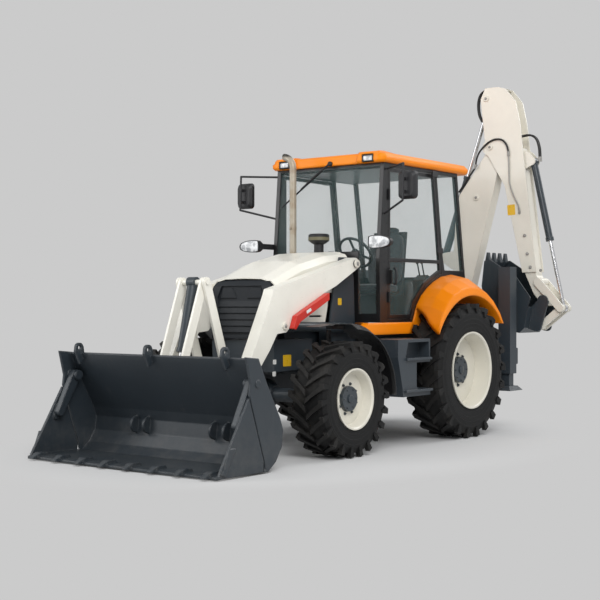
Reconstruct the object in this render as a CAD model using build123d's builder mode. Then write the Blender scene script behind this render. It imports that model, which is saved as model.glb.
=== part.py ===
# Backhoe loader, millimetres. +X is forward, +Y the machine's left, +Z up.
# The origin is on the ground, below the middle of the rear axle.
# The backhoe is stored slewed 90 degrees to the left, as it stands in the yard.
import os
from math import atan2, cos, hypot, pi, radians, sin

from build123d import *

os.makedirs("parts", exist_ok=True)

# Wheels and track
wheelbase = 2165.0
front_tyre_radius = 545.0
front_tyre_width = 400.0
front_tyre_middle = 958.0
front_rim_radius = 302.0
front_disc_depth = 105.0
rear_tyre_radius = 722.0
rear_tyre_width = 424.0
rear_rim_radius = 426.0
rear_disc_depth = 190.0
flange_inset = 8.0
lug_height = 34.0
lug_count = 22
kingpin_y = 680.0
axle_tube_radius = 68.0

# Chassis
rail_inner = 225.0
rail_outer = 290.0
nose_half = 392.0
frame_low = 640.0
frame_high = 900.0

# Loader arms, seen from the side (x, z)
arm_inner = 434.0
arm_outer = 556.0
arm_pivot = (1345.0, 1837.0)
lift_rod_pin = (2490.0, 1222.0)
lift_base_pin = (1400.0, 1190.0)
lever_pivot = (2870.0, 800.0)
torque_tube = (3075.0, 565.0)
bucket_pivot = (3200.0, 300.0)
apex_pin = (3150.0, 1630.0)
link_pin = (3421.0, 880.0)
tilt_rod_pin = (3360.0, 700.0)

# Loader bucket
bucket_half = 1165.0
bucket_wall = 22.0
jaw_pivot = (3610.0, 760.0)
tooth_tip_x = 4177.0
tooth_count = 8

# Cab
cab_half = 700.0
cab_floor = 1240.0
cab_head = 2885.0
cab_wall = 36.0
roof_half = cab_half + 45.0
roof_top = cab_head + 115.0
wheel_well = 26.0
rear_tyre_middle = cab_half + wheel_well + rear_tyre_width / 2
glass = 6.0
door_gap = 7.0

# Backhoe, seen from the front with the machine's left to the right (y, z)
hoe_x = -1450.0
swing_y = -350.0
boom_foot = (-20.0, 780.0)
boom_head = (597.0, 3285.0)
boom_ram_base = (-190.0, 980.0)
boom_ram_pin = (400.0, 2700.0)
crowd_base = (-80.0, 2000.0)
crowd_pin = (547.0, 3865.0)
curl_base = (1120.0, 3086.0)
rocker_pivot = (1219.0, 1680.0)
curl_pin = (1500.0, 1382.0)
hoe_bucket_pivot = (1295.0, 1468.0)
hoe_link_pin = (1230.0, 1165.0)
boom_width = 150.0
hoe_bucket_width = 500.0

# Stabilisers
leg_front = -910.0
leg_back = -1060.0
leg_inner = 950.0
leg_outer = 1100.0

# Fits
clearance = 6.0
pin_fit = 0.5


def at_y(y):
    # sketch plane across the machine: sketch x is X, sketch y is Z, extrusion runs towards -Y
    return Plane.XZ.offset(-y)


def at_x(x):
    # sketch plane along the machine: sketch x is Y, sketch y is Z, extrusion runs towards +X
    return Plane.YZ.offset(x)


def plate(plane, depth, outline=None, bosses=(), bores=(), mode=Mode.ADD):
    # bosses and bores are ((a, b), radius) pairs in the sketch plane
    with BuildSketch(plane) as shape:
        if outline:
            with BuildLine():
                Polyline(*outline, close=True)
            make_face()
        for centre, radius in bosses:
            with Locations(centre):
                Circle(radius)
        for centre, radius in bores:
            with Locations(centre):
                Circle(radius, mode=Mode.SUBTRACT)
    extrude(shape.sketch, amount=depth, mode=mode)


def bar_outline(p, radius_p, q, radius_q):
    # the four tangent points of two circles joined by straight edges
    length = hypot(q[0] - p[0], q[1] - p[1])
    along = atan2(q[1] - p[1], q[0] - p[0])
    spread = radians(90) + atan2(radius_q - radius_p, length)
    points = []
    for centre, radius, turn in ((p, radius_p, spread), (q, radius_q, spread),
                                 (q, radius_q, -spread), (p, radius_p, -spread)):
        points.append((centre[0] + radius * cos(along + turn), centre[1] + radius * sin(along + turn)))
    return points


def bar(plane, depth, p, radius_p, q, radius_q, bores=()):
    plate(plane, depth, bar_outline(p, radius_p, q, radius_q), ((p, radius_p), (q, radius_q)), bores)


def disc(plane, centre, radius, depth, mode=Mode.ADD):
    plate(plane, depth, None, ((centre, radius),), (), mode)


def block(low, high, mode=Mode.ADD):
    # box between two corners
    middle = [(a + b) / 2 for a, b in zip(low, high)]
    with Locations(Location(tuple(middle))):
        Box(*[b - a for a, b in zip(low, high)], mode=mode)


def round_bar(start, direction, length, radius, mode=Mode.ADD):
    with BuildSketch(Plane(origin=start, z_dir=direction)) as ring:
        Circle(radius)
    extrude(ring.sketch, amount=length, mode=mode)


def rod_between(start, end, radius, mode=Mode.ADD):
    direction = Vector(*end) - Vector(*start)
    round_bar(start, direction, direction.length, radius, mode)


def spun(hub, profile):
    # profile is a list of (y, radius) points turned about the wheel's axle
    with BuildSketch(Plane.YZ.offset(hub[0])) as section:
        with BuildLine():
            Polyline(*[(y, hub[1] + r) for y, r in profile], close=True)
        make_face()
    revolve(section.sketch, axis=Axis((hub[0], 0, hub[1]), (0, 1, 0)))


def save(piece, name):
    piece.part.label = name
    export_step(piece.part, f"parts/{name}.step")


front_hub = (wheelbase, front_tyre_radius)
rear_hub = (0.0, rear_tyre_radius)


# Tyres: a closed ring from the rim seat out to the tread, below the lugs
def tyre_profile(middle, width, radius, rim):
    bead = width / 2 - 22
    wall = width / 2 - 10
    tread = radius - lug_height
    height = tread - rim
    half = [(bead, rim - 12), (bead + 4, rim + 6), (wall, rim + 0.42 * height),
            (wall - 3, rim + 0.72 * height), (wall - 22, tread - 12), (wall - 60, tread)]
    return ([(middle + a, r) for a, r in half]
            + [(middle - a, r) for a, r in reversed(half)])


def lug_pair(hub, middle, width, radius):
    # one lug each side of the tread's middle line, half a pitch apart, each with a foot down the sidewall
    pitch = 2 * pi * radius / lug_count
    thick = 0.33 * pitch
    reach = 0.62 * pitch
    edge = width / 2 - 4
    top = (radius ** 2 - reach ** 2) ** 0.5
    root = radius - lug_height - 26
    pieces = []
    for half, shift in ((1, 0.0), (-1, 180.0 / lug_count)):
        with BuildPart() as lug:
            with BuildSketch(Plane.XY.offset(hub[1] + root)) as foot:
                with BuildLine():
                    Polyline(*[(hub[0] + t, middle + half * y) for t, y in (
                        (reach, -4), (reach - thick, 6), (0.1 * reach - thick / 2, 0.4 * edge),
                        (-reach, edge), (thick - reach, edge), (0.1 * reach + thick / 2,
                                                                0.36 * edge))], close=True)
                make_face()
            extrude(foot.sketch, amount=top - root)
            toe = edge - 46
            with BuildSketch(at_y(middle + edge if half > 0 else middle - toe)) as side_foot:
                with BuildLine():
                    Polyline(*[(hub[0] + t, hub[1] + r) for t, r in (
                        (-reach, top - 2), (thick - reach, top - 2), (0.8 * thick - reach, top - 96),
                        (0.2 * thick - reach, top - 96))], close=True)
                make_face()
            extrude(side_foot.sketch, amount=edge - toe)
        pieces.append(lug.part.rotate(Axis((hub[0], 0, hub[1]), (0, 1, 0)), shift))
    return pieces


def rim_profile(outer_y, inner_y, rim, depth, seat, hub_radius, hub_reach, side):
    # one closed section from the outer flange down the barrel to the disc and the hub
    disc_y = outer_y - side * depth
    s = side
    return [
        (outer_y, rim), (outer_y, rim - 14), (outer_y - s * 12, rim - 26), (disc_y, seat - 46),
        (disc_y, hub_radius), (disc_y + s * hub_reach, hub_radius - 5), (disc_y + s * hub_reach, 0),
        (disc_y - s * 60, 0), (disc_y - s * 60, hub_radius), (disc_y - s * 22, hub_radius + 20),
        (disc_y - s * 22, seat - 30), (inner_y + s * 12, rim - 26), (inner_y, rim - 14), (inner_y, rim),
        (inner_y + s * 14, rim - 2), (inner_y + s * 20, seat - 6), (outer_y - s * 20, seat - 6),
        (outer_y - s * 14, rim - 2),
    ]


# corner name, hub, tyre middle, tyre width, tyre radius, rim radius, disc depth, hub radius, hub reach
wheels = (
    ("front", front_hub, front_tyre_middle, front_tyre_width, front_tyre_radius, front_rim_radius,
     front_disc_depth, 122.0, 34.0),
    ("rear", rear_hub, rear_tyre_middle, rear_tyre_width, rear_tyre_radius, rear_rim_radius,
     rear_disc_depth, 142.0, 46.0),
)
for end, hub, middle, width, radius, rim, depth, hub_radius, reach in wheels:
    axle_line = Axis((hub[0], 0, hub[1]), (0, 1, 0))
    with BuildPart() as left_tyre:
        spun(hub, tyre_profile(middle, width, radius, rim))
        add([lug.rotate(axle_line, i * 360 / lug_count)
             for lug in lug_pair(hub, middle, width, radius) for i in range(lug_count)])
    save(left_tyre, f"{end}_left_tyre")
    with BuildPart() as right_tyre:
        add(mirror(left_tyre.part, about=Plane.XZ))
    save(right_tyre, f"{end}_right_tyre")
    for label, side in (("left", 1), ("right", -1)):
        outer = side * (middle + width / 2 - flange_inset)
        inner = side * (middle - width / 2 + flange_inset)
        with BuildPart() as rim_part:
            spun(hub, rim_profile(outer, inner, rim - 14, depth, rim - 12 - pin_fit, hub_radius, reach,
                                  side))
        save(rim_part, f"{end}_{label}_rim")

# Front axle: beam with a round middle housing and a fork at each end for the kingpin
fork_radius = 72.0
fork_gap = 90.0
fork_thick = 36.0
with BuildPart() as front_axle:
    disc(at_y(560), front_hub, axle_tube_radius, 1120)
    with BuildSketch(Plane.YZ.offset(front_hub[0])):
        with BuildLine():
            Polyline((-190, front_hub[1]), (-190, front_hub[1] + 90), (-90, front_hub[1] + 150),
                     (60, front_hub[1] + 150), (190, front_hub[1] + 90), (190, front_hub[1]), close=True)
        make_face()
    revolve(axis=Axis((front_hub[0], 0, front_hub[1]), (0, 1, 0)))
    with Locations(Location((front_hub[0], 0, front_hub[1] + 165))):
        Box(190, 150, 60)
    block((front_hub[0] - 80, 520, front_hub[1] - fork_gap - fork_thick),
          (front_hub[0] + 80, 600, front_hub[1] + fork_gap + fork_thick))
    for z_low in (front_hub[1] - fork_gap - fork_thick, front_hub[1] + fork_gap):
        with BuildSketch(Plane.XY.offset(z_low)):
            with Locations((front_hub[0], kingpin_y)):
                Circle(fork_radius)
            with Locations((front_hub[0], (kingpin_y + 560) / 2)):
                Rectangle(2 * fork_radius, kingpin_y - 560)
            with Locations((front_hub[0], kingpin_y)):
                Circle(26 + pin_fit, mode=Mode.SUBTRACT)
        extrude(amount=fork_thick)
    mirror(about=Plane.XZ)
save(front_axle, "front_axle")

# Knuckles: kingpin boss, stub towards the wheel, and the post that carries the mudguard
guard_inner = 785.0
guard_rear_inner = 862.0
guard_outer = 1163.0
guard_radius = 700.0
guard_edge_radius = 655.0
guard_thick = 8.0
guard_post_x = front_hub[0] - 150
for label, side in (("left", 1), ("right", -1)):
    with BuildPart() as knuckle:
        with BuildSketch(Plane.XY.offset(front_hub[1] - fork_gap + 5)):
            with Locations((front_hub[0], side * kingpin_y)):
                Circle(58)
        extrude(amount=2 * fork_gap - 10)
        with BuildSketch(Plane.XY.offset(front_hub[1] - fork_gap - fork_thick)):
            with Locations((front_hub[0], side * kingpin_y)):
                Circle(26)
        extrude(amount=2 * (fork_gap + fork_thick))
        stub_y = front_tyre_middle + front_tyre_width / 2 - flange_inset - front_disc_depth - 60 - clearance
        disc(at_y(side * stub_y if side > 0 else -kingpin_y), front_hub, 78, stub_y - kingpin_y)
        # arm from the boss back to the post, clear of the fork
        block((guard_post_x - 20, min(side * 672, side * 712), front_hub[1] - 40),
              (front_hub[0] - 30, max(side * 672, side * 712), front_hub[1] + 40))
        block((guard_post_x - 20, min(side * 700, side * 732), front_hub[1] - 40),
              (guard_post_x + 20, max(side * 700, side * 732), front_hub[1] + guard_radius - 60))
        # the mudguard: a curved sheet from hub height behind the wheel up over its top, narrower low down
        hub_axis = Axis((front_hub[0], 0, front_hub[1]), (0, -1, 0))
        for inner, arc in ((guard_inner, 38), (guard_rear_inner, 90)):
            section = [(inner, guard_radius), (guard_outer - 70, guard_radius),
                       (guard_outer, guard_edge_radius), (guard_outer, guard_edge_radius - guard_thick),
                       (guard_outer - 72, guard_radius - guard_thick), (inner, guard_radius - guard_thick)]
            with BuildSketch(Plane.YZ.offset(front_hub[0])) as guard:
                with BuildLine():
                    Polyline(*[(side * y, front_hub[1] + r) for y, r in section], close=True)
                make_face()
            revolve(guard.sketch, axis=hub_axis, revolution_arc=arc)
        lip = [(front_hub[0] - 1, front_hub[1] + guard_radius), (front_hub[0] + 60,
                                                                 front_hub[1] + guard_radius),
               (front_hub[0] + 325, front_hub[1] + guard_radius - 24),
               (front_hub[0] + 325, front_hub[1] + guard_radius - 24 - guard_thick),
               (front_hub[0] + 60, front_hub[1] + guard_radius - guard_thick),
               (front_hub[0] - 1, front_hub[1] + guard_radius - guard_thick)]
        lip_outer = 960.0
        lip_inner = guard_inner + 15
        plate(at_y(side * lip_outer if side > 0 else -lip_inner), lip_outer - lip_inner, lip)
        # bracket from the post out to the underside of the sheet
        post_top = front_hub[1] + (guard_radius ** 2 - (guard_post_x - front_hub[0]) ** 2) ** 0.5 - guard_thick
        block((guard_post_x - 20, min(side * 700, side * 900), post_top - 30),
              (guard_post_x + 20, max(side * 700, side * 900), post_top + 2))
    save(knuckle, f"{label}_knuckle")

# Rear axle: straight housing with a round middle
with BuildPart() as rear_axle:
    rear_stub = rear_tyre_middle + rear_tyre_width / 2 - flange_inset - rear_disc_depth - 60 - clearance
    disc(at_y(rear_stub), rear_hub, 95, 2 * rear_stub)
    with BuildSketch(Plane.YZ.offset(0)):
        with BuildLine():
            Polyline((-210, rear_hub[1]), (-210, rear_hub[1] + 120), (-110, rear_hub[1] + 200),
                     (110, rear_hub[1] + 200), (210, rear_hub[1] + 120), (210, rear_hub[1]), close=True)
        make_face()
    revolve(axis=Axis((0, 0, rear_hub[1]), (0, 1, 0)))
save(rear_axle, "rear_axle")

# Chassis: two rails, the nose box over the front axle, the loader towers and the backhoe frame
tower_x = (1170.0, 1600.0)
tower_inner = 404.0
tower_outer = 425.0
pin_radius = 35.0
ram_pin_radius = 25.0
leg_wall = 20.0
beam_front = -870.0
beam_back = -1040.0
hoe_beams = ((560.0, 680.0), (1010.0, 1130.0))
with BuildPart() as main_frame:
    # rails, arched clear of the rear axle
    plate(at_y(rail_outer), rail_outer - rail_inner,
          [(beam_front - 10, 560), (-300, 560), (-240, rear_hub[1] + 110), (240, rear_hub[1] + 110),
           (330, frame_low), (2440, frame_low + 150), (2440, frame_high + 120), (1100, frame_high + 120),
           (800, frame_high + 40), (beam_front - 10, frame_high + 40)])
    # saddle that seats on the rear axle tube
    plate(at_y(rail_outer), rail_outer - rail_inner,
          [(-130, rear_hub[1] + 90), (130, rear_hub[1] + 90), (130, rear_hub[1] + 150), (-130,
                                                                                         rear_hub[1] + 150)])
    disc(at_y(rail_outer + 1), rear_hub, 95 + pin_fit, rail_outer - rail_inner + 2, Mode.SUBTRACT)
    # tower: base box, thin plate beside the bonnet, pins for the arm and the lift ram
    block((tower_x[0], rail_outer - 2, 760), (tower_x[1], tower_outer, 1230))
    plate(at_y(tower_outer), tower_outer - tower_inner,
          [(tower_x[0], 1225), (tower_x[1], 1225), (tower_x[1] - 60, 1560), (1430, 1905), (1262, 1905),
           (tower_x[0] + 20, 1700)])
    disc(at_y(arm_outer + 16), arm_pivot, pin_radius, arm_outer + 16 - tower_inner)
    disc(at_y(arm_outer + 16), arm_pivot, pin_radius + 5, 10)
    disc(at_y(arm_outer - 4), lift_base_pin, ram_pin_radius, arm_outer - 4 - rail_outer)
    # nose box, split by the rails
    plate(at_y(nose_half), nose_half - rail_inner + 2,
          [(1850, 800), (2440, 780), (2452, 1060), (2440, 1090), (1850, 1090)])
    mirror(about=Plane.XZ)
    # cross members
    block((2250, -rail_inner - 1, 800), (2440, rail_inner + 1, 1085))
    block((front_hub[0] - 90, -rail_inner - 1, front_hub[1] + 200), (front_hub[0] + 90, rail_inner + 1,
                                                                     880))
    block((420, -rail_inner - 1, 700), (560, rail_inner + 1, 880))
    # backhoe frame: two beams with a web, carrying the stabiliser housings
    for z_low, z_high in hoe_beams:
        block((beam_back, -leg_inner - 2, z_low), (beam_front, leg_inner + 2, z_high))
    block((beam_front - 30, -leg_inner - 2, 640), (beam_front, leg_inner + 2, 1050))
    for side in (1, -1):
        y_low, y_high = sorted((side * leg_inner, side * leg_outer))
        block((leg_back, y_low, 640), (leg_front, y_high, 1850))
        block((leg_back + leg_wall, y_low + leg_wall, 600), (leg_front - leg_wall, y_high - leg_wall, 1830),
              Mode.SUBTRACT)
save(main_frame, "main_frame")

# Engine and gearbox as one plain mass between the rails
with BuildPart() as engine_block:
    block((1050, -210, 760), (2060, 210, 1180))
    block((1150, -190, 1180), (2200, 190, 1460))
    block((700, -170, 740), (1050, 170, 1100))
save(engine_block, "engine_block")

# Steps and tanks between the wheels, one each side
step_inner = rail_outer
step_outer = 1085.0
step_back = 768.0
with BuildPart() as step_tanks:
    plate(at_y(step_outer), step_outer - 620,
          [(step_back, 505), (1270, 505), (1285, 600), (1365, 900), (1365, 1078), (step_back, 1078)])
    block((800, step_inner, 700), (1100, 640, 1000))
    # foot recesses over the lower and the upper tread, the lower one open to the rear
    plate(at_y(step_outer + 1), 181,
          [(step_back - 1, 572), (990, 572), (1025, 600), (1025, 842), (step_back - 1, 842)],
              mode=Mode.SUBTRACT)
    plate(at_y(step_outer + 1), 131,
          [(step_back + 24, 890), (1231, 890), (1180, 1046), (step_back + 24, 1046)], mode=Mode.SUBTRACT)
    # the treads reach out past the tank
    block((step_back, step_outer - 2, 548), (1260, step_outer + 34, 572))
    block((step_back, step_outer - 2, 866), (1231, step_outer + 24, 890))
    mirror(about=Plane.XZ)
save(step_tanks, "step_tanks")

# Bonnet: shell lofted through sections that fall towards the nose, wider at its foot than on top
bonnet_half = 395.0
bonnet_wall = 12.0
bonnet_hinge = (1262.0, 1944.0)
# x, shoulder height, top height, foot height
bonnet_rows = (
    (1235.0, 1888.0, 1976.0, 1560.0),
    (1600.0, 1852.0, 1952.0, 1542.0),
    (2020.0, 1752.0, 1856.0, 1522.0),
    (2445.0, 1590.0, 1686.0, 1500.0),
)


def bonnet_section(x, shoulder, top, foot, inset):
    half = bonnet_half - inset
    crown = 0.6 * bonnet_half - inset
    top = top - inset
    with BuildSketch(at_x(x)) as section:
        with BuildLine():
            Polyline((-half, foot), (-half, shoulder), (-half + 46, shoulder + 0.62 * (top - shoulder)),
                     (-crown, top - 6), (0, top), (crown, top - 6),
                     (half - 46, shoulder + 0.62 * (top - shoulder)), (half, shoulder), (half, foot),
                         close=True)
        make_face()
    return section.sketch


stack_x = 1380.0
stack_y = -220.0
stack_radius = 36.0
cleaner_x = 1325.0
cleaner_y = 78.0
cleaner_radius = 50.0
nose_gap = 8.0
with BuildPart() as bonnet:
    loft([bonnet_section(x, shoulder, top, foot, 0) for x, shoulder, top, foot in bonnet_rows], ruled=True)
    first = bonnet_rows[0]
    last = bonnet_rows[-1]
    inner_rows = ((first[0] - 1,) + first[1:],) + bonnet_rows[1:-1] + ((last[0] + 1,) + last[1:],)
    loft([bonnet_section(x, shoulder - 4, top, foot - 60, bonnet_wall)
          for x, shoulder, top, foot in inner_rows], ruled=True, mode=Mode.SUBTRACT)
    # front edge raked back so that it clears the nose as the bonnet swings up
    plate(at_y(bonnet_half + 1), 2 * bonnet_half + 2,
          [(2386, 1480), (2460, 1480), (2460, 1650), (2438, 1650)], mode=Mode.SUBTRACT)
    # holes for the stack and the pre-cleaner, long enough for the bonnet's swing
    with BuildSketch(Plane.XY.offset(1800)) as holes:
        with Locations((stack_x + 19, stack_y)):
            SlotOverall(2 * stack_radius + 62, 2 * stack_radius + 22)
        with Locations((cleaner_x + 16, cleaner_y)):
            SlotOverall(2 * cleaner_radius + 62, 2 * cleaner_radius + 22)
    extrude(holes.sketch, amount=220, mode=Mode.SUBTRACT)
    # hinge barrels below the rear edge
    for y_hinge in (300, -260):
        disc(at_y(y_hinge), bonnet_hinge, 20, 40)
save(bonnet, "bonnet")

# White side panels below the bonnet, with a slot each
with BuildPart() as side_panels:
    plate(at_y(bonnet_half), 14, [(1640, 1250), (2380, 1250), (2380, 1490), (1585, 1525), (1600, 1400)])
    block((1700, bonnet_half - 20, 1300), (1900, bonnet_half + 2, 1318), Mode.SUBTRACT)
    plate(at_y(bonnet_half - 14), 60, [(1700, 1250), (2300, 1250), (2300, 1225), (1700, 1225)])
    mirror(about=Plane.XZ)
save(side_panels, "side_panels")

# Nose: moulded frame with rounded shoulders round a recessed grille of louvres
nose_back = 2384.0
nose_front = 2478.0
nose_low = 1092.0
nose_top = 1662.0
nose_side = 372.0
nose_corner = 95.0
grille_half = 292.0
grille_depth = 26.0
louvre_count = 5
with BuildPart() as nose_grille:
    plate(at_x(nose_back), nose_front - nose_back,
          [(-nose_side, nose_low), (nose_side, nose_low), (nose_side, nose_top - nose_corner),
           (nose_side - 28, nose_top - 28), (nose_side - nose_corner, nose_top - 4), (0, nose_top),
           (-nose_side + nose_corner, nose_top - 4), (-nose_side + 28, nose_top - 28),
           (-nose_side, nose_top - nose_corner)])
    # swelling of the front face from the foot of the frame to its brow
    plate(at_y(nose_side + 1), 2 * nose_side + 2,
          [(nose_front - 46, nose_top + 1), (nose_front - 8, nose_top - 62), (nose_front, nose_top - 150),
           (nose_front + 1, nose_top + 1)], mode=Mode.SUBTRACT)
    # base below the bonnet's foot, as wide as the bonnet
    block((nose_back, -nose_half, nose_low), (nose_front - 34, nose_half, 1484))
    # grille opening, then two upper panels beside the badge place and a stack of louvres
    plate(at_x(nose_front - grille_depth), grille_depth + 1,
          [(-grille_half, nose_low + 36), (grille_half, nose_low + 36), (grille_half + 6, nose_top - 170),
           (grille_half - 40, nose_top - 58), (-grille_half + 40, nose_top - 58),
           (-grille_half - 6, nose_top - 170)], mode=Mode.SUBTRACT)
    grille_floor = nose_front - grille_depth
    for side in (1, -1):
        plate(at_x(grille_floor - 1), 12,
              [(side * 70, nose_top - 176), (side * (grille_half - 20), nose_top - 176),
               (side * (grille_half - 52), nose_top - 76), (side * 122, nose_top - 76)])
    louvre_pitch = (nose_top - 200 - nose_low - 60) / louvre_count
    for i in range(louvre_count):
        z_louvre = nose_low + 60 + (i + 0.5) * louvre_pitch
        plate(at_y(grille_half + 4), 2 * grille_half + 8,
              [(grille_floor - 1, z_louvre - 26), (grille_floor + 15, z_louvre - 30),
               (grille_floor + 4, z_louvre + 30), (grille_floor - 1, z_louvre + 30)])
save(nose_grille, "nose_grille")

# Exhaust stack: straight pipe with a curved outlet
stack_low = 1460.0
stack_bend = 2850.0
outlet_reach = 118.0
outlet_rise = 128.0
with BuildPart() as exhaust_stack:
    with BuildLine() as stack_path:
        Line((stack_x, stack_y, stack_low), (stack_x, stack_y, stack_bend))
        ThreePointArc((stack_x, stack_y, stack_bend),
                      (stack_x, stack_y - 0.24 * outlet_reach, stack_bend + 0.62 * outlet_rise),
                      (stack_x, stack_y - outlet_reach, stack_bend + outlet_rise))
    with BuildSketch(Plane.XY.offset(stack_low)):
        with Locations((stack_x, stack_y)):
            Circle(stack_radius)
            Circle(stack_radius - 4, mode=Mode.SUBTRACT)
    sweep()
    # collar at the bonnet
    with BuildSketch(Plane.XY.offset(1700)) as collar:
        with Locations((stack_x, stack_y)):
            Circle(stack_radius + 6)
            Circle(stack_radius - 2, mode=Mode.SUBTRACT)
    extrude(collar.sketch, amount=90)
save(exhaust_stack, "exhaust_stack")

# Air pre-cleaner: neck and a bowl with a sloping underside
bowl_radius = 108.0
bowl_low = 2058.0
bowl_top = 2156.0
with BuildPart() as pre_cleaner:
    with BuildSketch(Plane.XZ.offset(-cleaner_y)) as cleaner:
        with BuildLine():
            Polyline(*[(cleaner_x + r, z) for r, z in (
                (0, 1460), (cleaner_radius, 1460), (cleaner_radius, bowl_low - 12),
                    (cleaner_radius + 22, bowl_low),
                (bowl_radius - 8, bowl_low + 20), (bowl_radius, bowl_low + 28),
                (bowl_radius, bowl_top - 12), (bowl_radius - 16, bowl_top), (0, bowl_top))], close=True)
        make_face()
    revolve(cleaner.sketch, axis=Axis((cleaner_x, cleaner_y, 0), (0, 0, 1)))
save(pre_cleaner, "pre_cleaner")

# Cab: shell with its windows and door openings cut
a_pillar_x = 970.0
window_head = cab_head - 24.0
door_head = cab_head - 42.0
screen_half = cab_half - 46.0
front_foot = 1110.0
front_waist = (1122.0, 1900.0)
front_head = 1040.0
cab_profile = [(front_foot, cab_floor), front_waist, (front_head, cab_head), (-418, cab_head), (-600, 1690),
               (-560, cab_floor)]
cab_inside = [(front_foot - cab_wall, cab_floor + 40), (front_waist[0] - cab_wall, front_waist[1]),
              (front_head + 4 - cab_wall, cab_head - 40), (-418 + cab_wall, cab_head - 40),
              (-600 + cab_wall, 1690), (-560 + cab_wall, cab_floor + 40)]
door_opening = [(a_pillar_x, 1275), (a_pillar_x, door_head), (52, door_head), (-70, 1965), (-92, 1760),
                (-45, 1752),
                (250, 1622), (462, 1428), (535, 1275)]
quarter_window = [(14, door_head), (-385, door_head), (-545, 1800), (-150, 1800), (-106, 1965)]
windscreen = [(-screen_half, window_head), (screen_half, window_head), (screen_half, 1330), (430, 1330),
              (430, 1975), (-430, 1975), (-430, 1330), (-screen_half, 1330)]
rear_window = [(-screen_half, 1740), (screen_half, 1740), (screen_half, window_head), (-screen_half,
                                                                                       window_head)]
with BuildPart() as cab_frame:
    plate(at_y(cab_half), 2 * cab_half, cab_profile)
    plate(at_y(cab_half - cab_wall), 2 * (cab_half - cab_wall), cab_inside, mode=Mode.SUBTRACT)
    for y_face in (cab_half + 1, -cab_half + cab_wall + 1):
        plate(at_y(y_face), cab_wall + 2, door_opening, mode=Mode.SUBTRACT)
        plate(at_y(y_face), cab_wall + 2, quarter_window, mode=Mode.SUBTRACT)
    plate(at_x(900), 300, windscreen, mode=Mode.SUBTRACT)
    plate(at_x(-650), 300, rear_window, mode=Mode.SUBTRACT)
save(cab_frame, "cab_frame")

# Fixed panes: quarter windows, the windscreen with its two feet, and the rear window
with BuildPart() as front_sheet:
    plate(at_y(cab_half), 2 * cab_half,
          [(front_foot - 12, cab_floor), (front_waist[0] - 12, front_waist[1]), (front_head - 12, cab_head),
           (front_head - 12 - glass, cab_head), (front_waist[0] - 12 - glass, front_waist[1]),
           (front_foot - 12 - glass, cab_floor)])
    plate(at_x(900), 300, windscreen, mode=Mode.INTERSECT)
with BuildPart() as rear_sheet:
    plate(at_y(cab_half), 2 * cab_half, [(-406, cab_head), (-588, 1690), (-582, 1690), (-400, cab_head)])
    plate(at_x(-650), 300, rear_window, mode=Mode.INTERSECT)
with BuildPart() as cab_glass:
    plate(at_y(cab_half - 12), glass, quarter_window)
    mirror(about=Plane.XZ)
    add(front_sheet.part)
    add(rear_sheet.part)
save(cab_glass, "cab_glass")

# Roof: one moulding with bevelled edges and a lamp pod in each front corner
lamp_inner = roof_half - 265.0
lamp_outer = roof_half - 130.0
roof_front = 1120.0
roof_rear = -630.0
brow_set = 34.0
with BuildPart() as cab_roof:
    roof_middle = (roof_front + roof_rear) / 2
    roof_length = roof_front - roof_rear
    # height above the head, length lost, width lost
    rings = [(0, 24, 44), (22, 0, 8), (58, 0, 0), (98, 60, 70), (115, 170, 200)]
    for low, high in zip(rings[:-1], rings[1:]):
        faces = []
        for rise, short, narrow in (low, high):
            with BuildSketch(Plane.XY.offset(cab_head + rise)) as ring:
                with Locations((roof_middle - short / 6, 0)):
                    RectangleRounded(roof_length - short, 2 * roof_half - narrow, 70)
            faces.append(ring.sketch)
        loft(faces)
    # the brow between the pods is set back
    block((roof_front - brow_set, -lamp_inner + 70, cab_head - 5), (roof_front + 5, lamp_inner - 70,
                                                                    roof_top + 5),
          Mode.SUBTRACT)
    for side in (1, -1):
        # pod: a low wedge that carries the lamp above the roof's edge
        pod_start = side * (lamp_outer + 62) if side > 0 else -(lamp_inner - 62)
        plate(at_y(pod_start), lamp_outer - lamp_inner + 124,
              [(roof_front - 2, cab_head + 40), (roof_front - 2, roof_top - 28), (roof_front - 40,
                                                                                  roof_top + 2),
               (roof_front - 110, roof_top + 6), (roof_front - 420, roof_top - 12), (roof_front - 420,
                                                                                     cab_head + 40)])
        y_low, y_high = sorted((side * (lamp_inner - 5), side * (lamp_outer + 5)))
        block((roof_front - 50, y_low, cab_head + 4), (roof_front + 10, y_high, cab_head + 87),
              Mode.SUBTRACT)
save(cab_roof, "cab_roof")


# Doors: a bar frame around an upper and a lower pane, hinged on the front pillar
def shrink(points, distance):
    # inward copy of a closed outline, each edge moved by the same distance
    area = sum(a[0] * b[1] - b[0] * a[1] for a, b in zip(points, points[1:] + points[:1]))
    turn = 1 if area > 0 else -1
    result = []
    for i, here in enumerate(points):
        before, after = points[i - 1], points[(i + 1) % len(points)]
        d1 = Vector(here[0] - before[0], here[1] - before[1]).normalized()
        d2 = Vector(after[0] - here[0], after[1] - here[1]).normalized()
        n1 = Vector(-d1.Y * turn, d1.X * turn)
        n2 = Vector(-d2.Y * turn, d2.X * turn)
        scale = distance / (1 + n1.dot(n2))
        result.append((here[0] + (n1.X + n2.X) * scale, here[1] + (n1.Y + n2.Y) * scale))
    return result


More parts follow.
